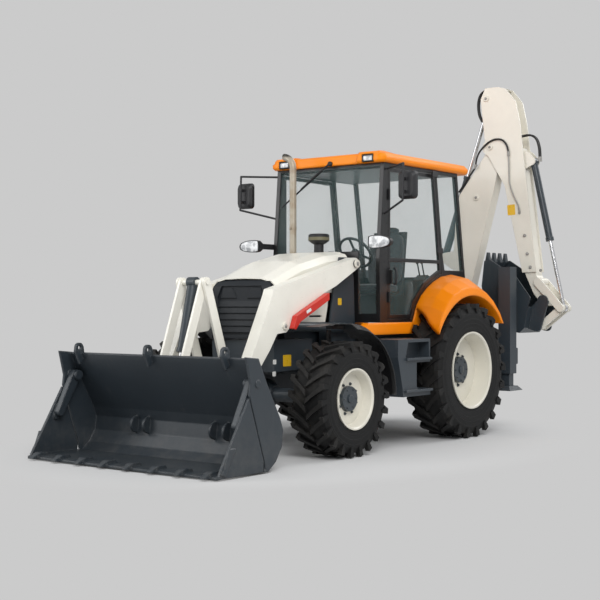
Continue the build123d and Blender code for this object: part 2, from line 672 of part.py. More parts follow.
door_outline = shrink(door_opening, door_gap)
door_inner = shrink(door_opening, door_gap + 38)
door_hinge = (a_pillar_x - 10, cab_half + 10)
hinge_heights = (1500.0, cab_head - 325.0)
waist_low = 1870.0
waist_high = 1908.0
door_thick = 30.0
for label, side in (("left", 1), ("right", -1)):
    near = side * cab_half if side > 0 else -cab_half + door_thick
    with BuildPart() as upper_field:
        plate(at_y(near), door_thick, door_inner)
        block((-200, -cab_half - 5, 1200), (1000, cab_half + 5, waist_high), Mode.SUBTRACT)
    with BuildPart() as lower_field:
        plate(at_y(near), door_thick, door_inner)
        block((-200, -cab_half - 5, waist_low), (1000, cab_half + 5, cab_head), Mode.SUBTRACT)
    with BuildPart() as door:
        plate(at_y(near), door_thick, door_outline)
        add(upper_field.part, mode=Mode.SUBTRACT)
        add(lower_field.part, mode=Mode.SUBTRACT)
        # pull handle on the front edge of the lower field
        y_low, y_high = sorted((side * (cab_half - 4), side * (cab_half + 26)))
        block((a_pillar_x - 46, y_low, 1640), (a_pillar_x - 22, y_high, 1780))
        # two hinge barrels
        for z_hinge in hinge_heights:
            with Locations(Location((door_hinge[0], side * door_hinge[1], z_hinge))):
                Cylinder(12, 110)
    save(door, f"{label}_door")
    with BuildPart() as pane_slab:
        pane_y = side * (cab_half - 12) if side > 0 else -cab_half + 12 + glass
        plate(at_y(pane_y), glass, door_outline)
    with BuildPart() as door_glass:
        add(upper_field.part)
        add(lower_field.part)
        add(pane_slab.part, mode=Mode.INTERSECT)
    save(door_glass, f"{label}_door_glass")

# Rear fenders: a shell that swells out from the cab over the tyre, with the skirt below the door
fender_outer = rear_tyre_middle + rear_tyre_width / 2 + 2
arch_radius = 800.0
arch_inner = cab_half + 18
skirt_outer = cab_half + 85
# outlines from the cab side to the outer edge, seen from the side (x, z)
fender_rows = (
    (cab_half + 5, [(600, 1120), (512, 1250), (436, 1417), (345, 1520), (230, 1602), (95, 1672), (-57,
                                                                                                  1728),
                    (-276, 1757), (-430, 1712), (-560, 1612), (-690, 1440), (-760, 1215), (-640, 1215),
                    (-400, 1120)]),
    (cab_half + 250, [(660, 1120), (610, 1240), (530, 1400), (440, 1500), (320, 1590), (165, 1660), (0,
                                                                                                     1705),
                      (-230, 1706), (-400, 1644), (-540, 1540), (-668, 1390), (-748, 1215), (-640, 1215),
                      (-400, 1120)]),
    (fender_outer, [(700, 1120), (682, 1220), (620, 1345), (535, 1430), (405, 1520), (250, 1582), (80,
                                                                                                   1612),
                    (-110, 1600), (-275, 1550), (-430, 1462), (-580, 1330), (-662, 1215), (-600, 1215),
                    (-400, 1120)]),
)
with BuildPart() as rear_fenders:
    for low, high in zip(fender_rows[:-1], fender_rows[1:]):
        faces = []
        for y_row, outline in (low, high):
            with BuildSketch(at_y(y_row)) as row:
                with BuildLine():
                    Polyline(*outline, close=True)
                make_face()
            faces.append(row.sketch)
        loft(faces, ruled=True)
    plate(at_y(skirt_outer), skirt_outer - cab_half - 5,
          [(500, 1120), (500, 1240), (1440, 1240), (1500, 1180), (1480, 1120)])
    disc(at_y(fender_outer + 1), rear_hub, arch_radius, fender_outer + 1 - arch_inner, Mode.SUBTRACT)
    mirror(about=Plane.XZ)
save(rear_fenders, "rear_fenders")

# Cab fittings: front console with the steering wheel, and the rear lever console
wheel_middle = (560.0, 0.0, 1990.0)
with BuildPart() as cab_controls:
    plate(at_y(150), 300, [(700, 1280), (980, 1280), (960, 1830), (860, 1900), (760, 1850)])
    rod_between((800, 0, 1800), wheel_middle, 28)
    with Locations(Location(wheel_middle, (0, -52, 0))):
        Torus(190, 15)
        Cylinder(46, 30)
        for turn in (0, 120, 240):
            with Locations(Location((0, 0, 0), (0, 0, turn))):
                with Locations(Location((95, 0, 0))):
                    Box(190, 26, 10)
    # lever console beside the rear window
    plate(at_y(330), 140, [(-330, 1280), (-480, 1280), (-510, 1700), (-400, 1760), (-300, 1700)])
    plate(at_y(-190), 140, [(-330, 1280), (-480, 1280), (-510, 1700), (-400, 1760), (-300, 1700)])
    for y_lever in (230, 290, -230, -290):
        rod_between((-400, y_lever, 1700), (-330, y_lever, 1900), 8)
        rod_between((-333, y_lever, 1890), (-320, y_lever, 1930), 17)
save(cab_controls, "cab_controls")

# Seat: base, shell and armrests; the cushions are separate soft pieces
with BuildPart() as seat_frame:
    block((20, -120, 1280), (330, 120, 1520))
    block((-40, -230, 1520), (400, 230, 1550))
    plate(at_y(215), 430, [(-60, 1545), (-20, 1545), (-110, 2240), (-150, 2240)])
save(seat_frame, "seat_frame")
with BuildPart() as seat_cushions:
    with BuildSketch(at_y(235)):
        with BuildLine():
            Polyline((0, 1551), (400, 1551), (420, 1640), (20, 1650), close=True)
        make_face()
    extrude(amount=470)
    plate(at_y(225), 450, [(24, 1656), (60, 1656), (-30, 2290), (-110, 2290), (-108, 2244)])
save(seat_cushions, "seat_cushions")

# Mirrors: a dished housing clamped to a bent tube that runs from the front pillar's head to its waist
mirror_y = cab_half + 362.0
mirror_low = cab_head - 405.0
mirror_height = 282.0
tube_x = 1235.0
with BuildPart() as mirrors:
    faces = []
    for x_face, width, height, corner in ((1132, 212, mirror_height, 42), (1168, 206,
                                                                           mirror_height - 8, 46),
                                          (1196, 168, mirror_height - 52, 44)):
        with BuildSketch(at_x(x_face)) as face:
            with Locations((mirror_y, mirror_low + mirror_height / 2)):
                RectangleRounded(width, height, corner)
        faces.append(face.sketch)
    loft(faces[:2])
    loft(faces[1:])
    bends = ((990, cab_half + 8, mirror_low + 341), (tube_x, mirror_y, mirror_low + 350),
             (tube_x + 14, mirror_y, mirror_low - 20), (1045, cab_half + 8, mirror_low - 122))
    for start, end in zip(bends[:-1], bends[1:]):
        rod_between(start, end, 11)
    for bend in bends[1:3]:
        with Locations(Location(bend)):
            Sphere(11)
    for z_clamp in (mirror_low + 70, mirror_low + 200):
        block((1186, mirror_y - 14, z_clamp - 14), (tube_x + 12, mirror_y + 14, z_clamp + 14))
    mirror(about=Plane.XZ)
save(mirrors, "mirrors")

# Lamps: egg-shaped head lamps on brackets from the front pillars, and work lamps in the roof pods
lamp_near = cab_half + 15.0
lamp_reach = 270.0
lamp_z = 2053.0
with BuildPart() as lamps:
    # outline round the lens, distance out from the near end and height about the middle
    egg = [(0, 44), (18, 60), (60, 66), (140, 64), (215, 50), (258, 30), (lamp_reach, 6), (lamp_reach, -10),
           (255, -34), (210, -52), (140, -64), (60, -66), (18, -60), (0, -44)]
    plate(at_x(1300), 46, [(lamp_near + a, lamp_z + b) for a, b in egg])
    with BuildSketch(at_x(1300)) as lamp_rim:
        with BuildLine():
            Polyline(*[(lamp_near + a, lamp_z + b) for a, b in egg], close=True)
        make_face()
    with BuildSketch(at_x(1250)) as lamp_back:
        with BuildLine():
            Polyline(*[(lamp_near + 20 + 0.72 * a, lamp_z + 0.68 * b) for a, b in egg], close=True)
        make_face()
    loft([lamp_rim.sketch, lamp_back.sketch])
    block((1062, cab_half + 2, lamp_z - 32), (1300, cab_half + 30, lamp_z + 26))
    # work lamp: body with a recessed face
    block((roof_front - 42, lamp_inner, cab_head + 10), (roof_front + 2, lamp_outer, cab_head + 81))
    block((roof_front - 6, lamp_inner + 10, cab_head + 20), (roof_front + 3, lamp_outer - 10,
                                                             cab_head + 72), Mode.SUBTRACT)
    mirror(about=Plane.XZ)
save(lamps, "lamps")

# Loader arms: two bent box arms joined by the torque tube, with the bucket pins at their tips
arm_profile = [(1345, 1899), (2650, 1568), (2672, 1512), (2964, 949), (3222, 380), (3136, 270), (2841, 851),
               (2708, 1001), (2600, 1150), (2500, 1160), (2430, 1190), (2370, 1300), (1868, 1536),
                   (1677, 1607),
               (1325, 1780)]
rod_pocket = [(2100, 1100), (2100, 1450), (2570, 1370), (2640, 1270), (2620, 1080)]
with BuildPart() as loader_arms:
    plate(at_y(arm_outer), arm_outer - arm_inner, arm_profile,
          ((arm_pivot, 62), (bucket_pivot, 72), (lift_rod_pin, 62)),
          ((arm_pivot, pin_radius + pin_fit), (bucket_pivot, 30 + pin_fit)))
    plate(at_y(525), 60, rod_pocket, mode=Mode.SUBTRACT)
    mirror(about=Plane.XZ)
    disc(at_y(arm_inner + 1), torque_tube, 66, 2 * arm_inner + 2)
    for y_lug in (146, -122):
        bar(at_y(y_lug), 24, torque_tube, 66, lever_pivot, 46)
    disc(at_y(180), lever_pivot, ram_pin_radius, 360)
save(loader_arms, "loader_arms")

# Red strut stowed below the left arm, a channel that holds the arms up when it is swung down
with BuildPart() as safety_strut:
    plate(at_y(622), 58, [(1873, 1538), (2380, 1318), (2430, 1200), (2400, 1190), (2330, 1262), (1873,
                                                                                                 1470)])
    plate(at_y(614), 42, [(1860, 1520), (2370, 1300), (2400, 1210), (2395, 1170), (2310, 1240), (1860,
                                                                                                 1440)],
          mode=Mode.SUBTRACT)
    disc(at_y(564), (1900, 1510), 12, 564 - arm_outer)
save(safety_strut, "safety_strut")


# Hydraulic rams: the barrel turns on its base pin, the rod slides out of it and ends in an eye
def ram_axis(plane_name, base, pin, across):
    direction = Vector(pin[0] - base[0], pin[1] - base[1]).normalized()
    if plane_name == "side":
        return Vector(base[0], across, base[1]), Vector(direction.X, 0, direction.Y)
    return Vector(across, base[0], base[1]), Vector(0, direction.X, direction.Y)


def ram_barrel(plane_name, base, pin, across, length, radius, rod_radius, eye_radius, eye_half, bore):
    start, along = ram_axis(plane_name, base, pin, across)
    plane = at_y(across + eye_half) if plane_name == "side" else at_x(across - eye_half)
    disc(plane, base, eye_radius, 2 * eye_half)
    round_bar(start + along * (eye_radius - 12), along, length - eye_radius + 12, radius)
    round_bar(start + along * (length - 40), along, 40, radius + 7)
    round_bar(start + along * (eye_radius + 14), along, length, rod_radius + pin_fit, Mode.SUBTRACT)
    disc(plane, base, bore + pin_fit, 2 * eye_half, Mode.SUBTRACT)


def ram_rod(plane_name, base, pin, across, inner_end, rod_radius, eye_radius, eye_half):
    start, along = ram_axis(plane_name, base, pin, across)
    total = hypot(pin[0] - base[0], pin[1] - base[1])
    plane = at_y(across + eye_half) if plane_name == "side" else at_x(across - eye_half)
    round_bar(start + along * inner_end, along, total - inner_end - eye_radius + 8, rod_radius)
    disc(plane, pin, eye_radius, 2 * eye_half)


lift_y = (arm_inner + arm_outer) / 2
lift_barrel_length = 930.0
with BuildPart() as lift_barrels:
    ram_barrel("side", lift_base_pin, lift_rod_pin, lift_y, lift_barrel_length, 48, 28, 50, 46,
               ram_pin_radius)
    mirror(about=Plane.XZ)
save(lift_barrels, "lift_barrels")
with BuildPart() as lift_rods:
    ram_rod("side", lift_base_pin, lift_rod_pin, lift_y, 100, 28, 42, 26)
    mirror(about=Plane.XZ)
save(lift_rods, "lift_rods")

# Tilt linkage in the middle: a pair of levers on the torque tube, a pair of links down to the bucket
lever_inner = 150.0
lever_outer = 176.0
tilt_link_inner = 118.0
tilt_link_outer = 144.0
with BuildPart() as tilt_levers:
    bar(at_y(lever_outer), lever_outer - lever_inner, lever_pivot, 52, apex_pin, 48,
        ((lever_pivot, ram_pin_radius + pin_fit),))
    mirror(about=Plane.XZ)
    disc(at_y(lever_outer + 12), apex_pin, ram_pin_radius, 2 * lever_outer + 24)
save(tilt_levers, "tilt_levers")
with BuildPart() as tilt_links:
    bar(at_y(tilt_link_outer), tilt_link_outer - tilt_link_inner, link_pin, 44, apex_pin, 46,
        ((apex_pin, ram_pin_radius + pin_fit),))
    mirror(about=Plane.XZ)
save(tilt_links, "tilt_links")
tilt_barrel_length = 660.0
with BuildPart() as tilt_barrel:
    ram_barrel("side", apex_pin, tilt_rod_pin, 0, tilt_barrel_length, 50, 27, 50, 46, ram_pin_radius)
save(tilt_barrel, "tilt_barrel")
with BuildPart() as tilt_rod:
    ram_rod("side", apex_pin, tilt_rod_pin, 0, 300, 27, 40, 30)
save(tilt_rod, "tilt_rod")

# Loader bucket, back half: curved back with end plates, pin lugs and the hooks on its top edge
back_outer = [(3610, 975), (3586, 930), (3490, 760), (3310, 450), (3272, 350), (3290, 210), (3370, 90),
              (3470, 16),
              (3530, 16)]
end_plate = [(3600, 975), (3758, 990), (3700, 762), (3712, 668), (3522, 112), (3500, 16), (3470, 16),
             (3370, 90),
             (3290, 210), (3272, 350), (3310, 450), (3490, 760)]
lip_block = [(3470, 16), (3530, 16), (3530, 40), (3480, 60), (3420, 80)]


def offset_line(points, distance):
    # parallel copy of an open outline on its right-hand side
    result = []
    for i, here in enumerate(points):
        before = points[max(i - 1, 0)]
        after = points[min(i + 1, len(points) - 1)]
        direction = Vector(after[0] - before[0], after[1] - before[1]).normalized()
        result.append((here[0] - direction.Y * distance, here[1] + direction.X * distance))
    return result


jaw_arm_thick = 58.0
cap_face = bucket_half - bucket_wall - 18 - jaw_arm_thick - 2
hook_places = (-1000.0, -90.0, 830.0)
hook_thick = 28.0
hook_bore = (3648.0, 1020.0)
hook_bore_radius = 20.0
with BuildPart() as bucket_shell:
    inside_line = offset_line(back_outer, bucket_wall)
    plate(at_y(bucket_half), 2 * bucket_half, back_outer + list(reversed(inside_line)))
    for y_plate in (bucket_half, -bucket_half + bucket_wall):
        plate(at_y(y_plate), bucket_wall, end_plate)
    # hinge bosses of the jaw inside the end plates, each with its pin and an end cap
    for side in (1, -1):
        face = bucket_half - bucket_wall
        for near, far, radius in ((face + 1, face - 16, 50), (face + 1, cap_face - 30, 20), (cap_face,
                                                                                             cap_face - 30, 46)):
            disc(at_y(near if side > 0 else -far), jaw_pivot, radius, near - far)
        disc(at_y(bucket_half + 8 if side > 0 else -bucket_half + 1), jaw_pivot, 34, 9)
    # three hooks on the top edge, bored on one line for the shaft of pallet forks
    for y_hook in hook_places:
        plate(at_y(y_hook + hook_thick / 2), hook_thick,
              [(3597, 900), (3640, 862), (3700, 985), (3692, 1030), (3600, 1030), (3590, 960)],
              ((hook_bore, 46),), ((hook_bore, hook_bore_radius),))
    # lugs for the arm tips, the links and the ram
    for y_lug in (arm_inner - clearance, arm_outer + clearance + 24,
                  -arm_inner + clearance + 24, -arm_outer - clearance):
        bar(at_y(y_lug), 24, bucket_pivot, 60, (3310, 300), 80)
    for y_pin in (arm_outer + clearance + 24, -arm_inner + clearance + 24):
        disc(at_y(y_pin), bucket_pivot, 30, arm_outer - arm_inner + 2 * clearance + 48)
    for y_lug in (lever_outer, -lever_inner):
        plate(at_y(y_lug), lever_outer - lever_inner,
              [(3385, 855), (3490, 752), (3582, 925), (3440, 924)], ((link_pin, 44),))
    for y_lug in (60, -38):
        plate(at_y(y_lug), 22, [(3330, 670), (3400, 560), (3500, 750), (3380, 735)], ((tilt_rod_pin, 40),))
save(bucket_shell, "bucket_shell")

# Loader bucket, front half: floor, cheeks, hinge arms, cutting edge and teeth
cheek = [(3722, 650), (4075, 82), (4110, 16), (3540, 16), (3534, 108)]
jaw_floor = [(3540, 16), (4060, 16), (4120, 10), (4120, 34), (4060, 44), (3545, 44)]
with BuildPart() as bucket_jaw:
    plate(at_y(bucket_half - 1), 2 * bucket_half - 2, jaw_floor)
    for y_plate in (bucket_half, -bucket_half + bucket_wall):
        plate(at_y(y_plate), bucket_wall, cheek)
    for y_arm in (bucket_half - bucket_wall - 18, -bucket_half + bucket_wall + 18 + jaw_arm_thick):
        bar(at_y(y_arm), jaw_arm_thick, jaw_pivot, 50, (3800, 420), 36, ((jaw_pivot, 20 + pin_fit),))
    for y_arm in (bucket_half - bucket_wall + 1, -bucket_half + bucket_wall + 19):
        bar(at_y(y_arm), 20, (3770, 470), 30, (3810, 380), 30)
    # side cutters on the cheeks' front edges
    for y_cutter in (bucket_half + 14, -bucket_half + 2):
        plate(at_y(y_cutter), 16, [(4085, 50), (4048, 84), (3980, 252), (3900, 250), (3990, 100),
                                   (4020, 30)])
    pitch = 2 * (bucket_half - 112) / (tooth_count - 1)
    for i in range(tooth_count):
        y_tooth = -(bucket_half - 112) + i * pitch
        plate(at_y(y_tooth + 36), 72, [(3990, 40), (4010, 70), (4090, 72), (4120, 60), (4120, 14),
                                       (4050, 14)])
        plate(at_y(y_tooth + 29), 58, [(4080, 62), (4112, 64), (tooth_tip_x, 30), (tooth_tip_x, 20),
                                       (4100, 14)])
save(bucket_jaw, "bucket_jaw")

# Backhoe carriage: slides across the machine on the two beams, with arms for the kingpost
carriage_half = 250.0
post_top = (1090.0, 1150.0)
post_low = (590.0, 650.0)
with BuildPart() as side_carriage:
    block((beam_back - 70, swing_y - carriage_half, 540), (beam_back - clearance,
                                                           swing_y + carriage_half, 1160))
    for z_low, z_high in (post_top, post_low):
        with BuildSketch(Plane.XY.offset(z_low)):
            with Locations((hoe_x, swing_y)):
                Circle(95)
            with BuildLine():
                Polyline((beam_back - 60, swing_y - 190), (hoe_x, swing_y - 95), (hoe_x, swing_y + 95),
                         (beam_back - 60, swing_y + 190), close=True)
            make_face()
        extrude(amount=z_high - z_low)
    with BuildSketch(Plane.XY.offset(500)):
        with Locations((hoe_x, swing_y)):
            Circle(45 + pin_fit)
    extrude(amount=800, mode=Mode.SUBTRACT)
    # keepers that hook over and under the beams
    block((beam_back - 70, swing_y - carriage_half, 1130 + clearance),
          (beam_back + 30, swing_y + carriage_half, 1160))
    block((beam_back - 70, swing_y - carriage_half, 530), (beam_back + 30, swing_y + carriage_half,
                                                           560 - clearance))
save(side_carriage, "side_carriage")

# Kingpost: turns on a vertical pin and carries the boom's foot and its ram
post_half = boom_width / 2 + clearance
post_cheek = 28.0
with BuildPart() as kingpost:
    with BuildSketch(Plane.XY.offset(post_low[1] + clearance)):
        with Locations((hoe_x, swing_y)):
            Circle(88)
        with Locations((hoe_x, swing_y + 38)):
            Rectangle(2 * (post_half + post_cheek), 90)
    extrude(amount=post_top[0] - post_low[1] - 2 * clearance)
    with BuildSketch(Plane.XY.offset(post_low[0] - 20)):
        with Locations((hoe_x, swing_y)):
            Circle(45)
    extrude(amount=post_top[1] - post_low[0] + 40)
    for x_cheek in (hoe_x - post_half - post_cheek, hoe_x + post_half):
        plate(at_x(x_cheek), post_cheek,
              [(swing_y + 20, 664), (boom_foot[0] - 20, 690), (boom_foot[0] + 60, 780),
               (boom_foot[0] - 20, 900),
               (-150, 1040), (swing_y + 20, 1076)], ((boom_foot, 90), (boom_ram_base, 54)))
    disc(at_x(hoe_x - post_half - post_cheek), boom_foot, 40, 2 * (post_half + post_cheek))
    disc(at_x(hoe_x - post_half - 1), boom_ram_base, 30, 2 * post_half + 2)
save(kingpost, "kingpost")

# Boom: bent box whose lower half is open towards the machine for its ram
boom_outline = [(-95, 740), (-105, 860), (60, 1500), (90, 2100), (120, 2560), (170, 2745), (510, 3190),
                (560, 3360), (640, 3370), (690, 3290), (680, 2990), (640, 2800), (335, 1671), (120,
                                                                                               900),
                                                                                                   (60, 740)]
boom_slot = [(-300, 600), (-300, 1900), (100, 2800), (300, 3010), (430, 2930), (528, 2790), (498, 2560),
             (276, 1671), (66, 960), (-64, 800), (-105, 600)]
boom_plate = 16.0
with BuildPart() as boom:
    plate(at_x(hoe_x - boom_width / 2), boom_width, boom_outline, ((boom_foot, 85), (boom_head, 95)),
          ((boom_foot, 40 + pin_fit), (boom_head, 40 + pin_fit)))
    plate(at_x(hoe_x - boom_width / 2 + boom_plate), boom_width - 2 * boom_plate, boom_slot,
          mode=Mode.SUBTRACT)
    # the ram's base lug on the boom's back
    for x_lug in (hoe_x - boom_width / 2, hoe_x + boom_width / 2 - boom_plate):
        bar(at_x(x_lug), boom_plate, crowd_base, 46, (96, 1960), 110)
    disc(at_x(hoe_x - boom_width / 2), crowd_base, ram_pin_radius, boom_width)
save(boom, "boom")
with BuildPart() as boom_barrel:
    ram_barrel("front", boom_ram_base, boom_ram_pin, hoe_x, 1150, 50, 30, 52, 46, 30)
save(boom_barrel, "boom_barrel")
with BuildPart() as boom_rod:
    ram_rod("front", boom_ram_base, boom_ram_pin, hoe_x, 100, 30, 46, 40)
save(boom_rod, "boom_rod")

# Dipper: two side plates and a back that guide the telescopic slide
dipper_half = boom_width / 2 + clearance + 16
dipper_plate = 16.0
dipper_outline = [(470, 3860), (530, 3990), (700, 3990), (800, 3960), (930, 3800), (985, 3560), (1010,
                                                                                                 3360),
                  (1200, 1800), (1020, 1795), (790, 2820), (560, 3200), (520, 3420)]
# the back wall runs along the way that the slide takes
slide_step = (190.0, -1565.0)
wall_low = (1020.0, 1795.0)
wall_top = (wall_low[0] + slide_step[0] / slide_step[1] * 1505, wall_low[1] + 1505)
slide_back_low = (wall_low[0] + dipper_plate + clearance, wall_low[1])
slide_back_top = (slide_back_low[0] + slide_step[0] / slide_step[1] * 1455, slide_back_low[1] + 1455)
with BuildPart() as dipper:
    for x_plate in (hoe_x - dipper_half, hoe_x + dipper_half - dipper_plate):
        plate(at_x(x_plate), dipper_plate, dipper_outline, ((boom_head, 100), (crowd_pin, 70)))
    # the back wall, clear of the boom's head
    plate(at_x(hoe_x - dipper_half), 2 * dipper_half,
          [(640, 3960), (620, 3560), (wall_top[0], wall_top[1]), (wall_low[0], wall_low[1]),
           (wall_low[0] + dipper_plate, wall_low[1]), (wall_top[0] + dipper_plate, wall_top[1] + 10),
               (640, 3560),
           (660, 3960)])
    plate(at_x(hoe_x - dipper_half), 2 * dipper_half, [(530, 3990), (700, 3990), (800, 3960), (790,
                                                                                               3944),
                                                                                                   (700, 3974),
                                                       (536, 3974)])
    disc(at_x(hoe_x - dipper_half), boom_head, 40, 2 * dipper_half)
    disc(at_x(hoe_x - dipper_half), crowd_pin, 30, dipper_plate + 12)
    disc(at_x(hoe_x + dipper_half - dipper_plate - 12), crowd_pin, 30, dipper_plate + 12)
save(dipper, "dipper")
with BuildPart() as crowd_barrel:
    ram_barrel("front", crowd_base, crowd_pin, hoe_x, 1020, 44, 25, 48, 46, ram_pin_radius)
save(crowd_barrel, "crowd_barrel")
with BuildPart() as crowd_rod:
    ram_rod("front", crowd_base, crowd_pin, hoe_x, 930, 25, 44, 30)
save(crowd_rod, "crowd_rod")

# Telescopic slide: box that runs inside the dipper, with the curl ram's bracket and the bucket pivot
slide_half = dipper_half - dipper_plate - 5
with BuildPart() as dipper_slide:
    plate(at_x(hoe_x - slide_half), 2 * slide_half,
          [slide_back_top, (1000, 3250), (1190, 1760), (1270, 1640), (1330, 1500), (1260, 1420), (1150,
                                                                                                  1560),
           slide_back_low], ((hoe_bucket_pivot, 62), (rocker_pivot, 54)),
          ((hoe_bucket_pivot, 32 + pin_fit), (rocker_pivot, 27 + pin_fit)))
    for x_lug in (hoe_x - 66, hoe_x + 50):
        bar(at_x(x_lug), 16, curl_base, 46, (1010, 3110), 110)
    disc(at_x(hoe_x - 66), curl_base, ram_pin_radius, 132)
save(dipper_slide, "dipper_slide")
with BuildPart() as curl_barrel:
    ram_barrel("front", curl_base, curl_pin, hoe_x, 950, 40, 23, 44, 44, ram_pin_radius)
save(curl_barrel, "curl_barrel")
with BuildPart() as curl_rod:
    ram_rod("front", curl_base, curl_pin, hoe_x, 850, 23, 40, 28)
save(curl_rod, "curl_rod")

# Rocker arms and the tipping link that turn the bucket
rocker_inner = slide_half + 7
with BuildPart() as rocker:
    bar(at_x(hoe_x + rocker_inner), 22, rocker_pivot, 50, curl_pin, 44)
    bar(at_x(hoe_x - rocker_inner - 22), 22, rocker_pivot, 50, curl_pin, 44)
    disc(at_x(hoe_x - rocker_inner - 22), rocker_pivot, 27, 2 * rocker_inner + 44)
    disc(at_x(hoe_x - rocker_inner - 22), curl_pin, 25, 22 + 20)
    disc(at_x(hoe_x + rocker_inner - 20), curl_pin, 25, 22 + 20)
save(rocker, "rocker")
with BuildPart() as tipping_link:
    for x_link in (hoe_x - 74, hoe_x + 50):
        bar(at_x(x_link), 24, curl_pin, 44, hoe_link_pin, 38, ((curl_pin, 25 + pin_fit),))
    disc(at_x(hoe_x - 74), hoe_link_pin, 28, 148)
save(tipping_link, "tipping_link")

# Backhoe bucket: wrapper, side plates, ears and four teeth
hoe_shell = [(620, 1935), (585, 1640), (640, 1400), (800, 1215), (940, 1130), (1060, 1112), (1112,
                                                                                             1160),
                                                                                                 (1136, 1300),
             (1165, 1400)]
hoe_side = hoe_shell + [(1205, 1500), (1030, 1730), (680, 1950)]
hoe_teeth = 4
with BuildPart() as hoe_bucket:
    shell_inside = offset_line(hoe_shell, -16)
    plate(at_x(hoe_x - hoe_bucket_width / 2), hoe_bucket_width, hoe_shell + list(reversed(shell_inside)))
    for x_side in (hoe_x - hoe_bucket_width / 2, hoe_x + hoe_bucket_width / 2 - 18):
        plate(at_x(x_side), 18, hoe_side)
    for x_ear in (hoe_x - 136, hoe_x + 111):
        plate(at_x(x_ear), 25, [(1100, 1150), (1200, 1118), (1270, 1135), (1370, 1460), (1300, 1535),
                                (1160, 1400)],
              ((hoe_bucket_pivot, 64), (hoe_link_pin, 50)))
    disc(at_x(hoe_x - 136), hoe_bucket_pivot, 32, 272)
    tooth_pitch = (hoe_bucket_width - 90) / (hoe_teeth - 1)
    for i in range(hoe_teeth):
        x_tooth = hoe_x - hoe_bucket_width / 2 + 45 + i * tooth_pitch
        plate(at_x(x_tooth - 28), 56, [(600, 1900), (628, 2035), (642, 2035), (662, 1925), (640, 1880)])
save(hoe_bucket, "hoe_bucket")

# Stabiliser legs: square tubes that slide down out of their housings, each on a foot
for label, side in (("left", 1), ("right", -1)):
    with BuildPart() as leg:
        y_low, y_high = sorted((side * (leg_inner + leg_wall + 5), side * (leg_outer - leg_wall - 5)))
        block((leg_back + leg_wall + 5, y_low, 490), (leg_front - leg_wall - 5, y_high, 1780))
        foot_y = side * (leg_inner + leg_outer) / 2
        foot_x = (leg_front + leg_back) / 2
        with BuildSketch(Plane.XY.offset(450)):
            with Locations((foot_x, foot_y)):
                Rectangle(300, 230)
        with BuildSketch(Plane.XY.offset(500)):
            with Locations((foot_x, foot_y)):
                Rectangle(200, 150)
        loft()
    save(leg, f"{label}_stabiliser")
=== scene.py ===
import math
import bmesh
import bpy
import numpy as np
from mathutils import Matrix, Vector


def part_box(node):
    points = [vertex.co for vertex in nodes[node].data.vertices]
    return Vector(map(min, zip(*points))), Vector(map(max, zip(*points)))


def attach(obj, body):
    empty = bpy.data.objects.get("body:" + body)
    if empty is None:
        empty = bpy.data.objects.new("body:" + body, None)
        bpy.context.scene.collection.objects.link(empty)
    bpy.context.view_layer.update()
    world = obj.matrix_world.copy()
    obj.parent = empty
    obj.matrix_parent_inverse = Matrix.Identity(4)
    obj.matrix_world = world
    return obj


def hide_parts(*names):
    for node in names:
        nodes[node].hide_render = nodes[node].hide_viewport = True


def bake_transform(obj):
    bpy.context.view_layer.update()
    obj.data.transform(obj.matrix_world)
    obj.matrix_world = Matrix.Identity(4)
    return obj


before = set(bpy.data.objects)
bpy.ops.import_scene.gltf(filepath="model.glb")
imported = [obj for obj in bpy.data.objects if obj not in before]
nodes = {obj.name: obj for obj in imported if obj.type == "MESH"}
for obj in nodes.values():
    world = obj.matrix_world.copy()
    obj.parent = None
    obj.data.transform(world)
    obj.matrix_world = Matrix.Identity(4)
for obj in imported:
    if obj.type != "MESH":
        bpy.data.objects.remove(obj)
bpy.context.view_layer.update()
print("frame loaded:", len(nodes), "nodes")

# view of the photograph
viewFit = {
    "place": (11.4316, 7.706, 1.4318),
    "heading": math.radians(37.9286),   # turned from -X towards -Y
    "lens": 73.22,
    "shiftUp": 0.00635,
}


def show(thing):
    bpy.context.scene.collection.objects.link(thing)


def setCamera(v):
    camera = bpy.data.objects.new("camera", bpy.data.cameras.new("camera"))
    camera.data.lens = v["lens"]
    camera.data.shift_y = v["shiftUp"]
    camera.data.clip_end = 200
    camera.location = v["place"]
    camera.rotation_euler = (math.pi / 2, 0, math.pi / 2 + v["heading"])
    show(camera)
    bpy.context.scene.camera = camera


setCamera(viewFit)
bpy.context.scene.view_settings.view_transform = "Standard"

# studio: pale backdrop, three softboxes
studio = {
    "backdrop": 0.597,
    "worldStrength": 0.56, "worldTone": (0.97, 0.985, 1.0, 1),
    "keyPlace": (9.0, 8.5, 9.0), "keySize": 6.0, "keyPower": 1020.0,
    "fillPlace": (10.0, -7.0, 5.0), "fillSize": 6.0, "fillPower": 300.0,
    "backPlace": (-7.0, 4.0, 8.0), "backSize": 6.0, "backPower": 380.0,
    "aim": (1.2, 0.0, 1.2),
    # floor: shaded in an ellipse about the machine, fading into the backdrop
    "floorReach": 60.0, "floorTone": (0.62, 0.62, 0.62, 1), "floorRough": 0.9, "floorShine": 0.1,
    "patchShift": (-0.42, 0.0, 0), "patchScale": (0.3, 0.42, 1), "fade": (0.75, 1.15),
}


def link(tree, a, b):
    tree.links.new(a, b)


def addNode(tree, kind, **values):
    node = tree.nodes.new(kind)
    for key, value in values.items():
        setattr(node, key, value)
    return node


def setInput(node, label, value):
    node.inputs[label].default_value = value


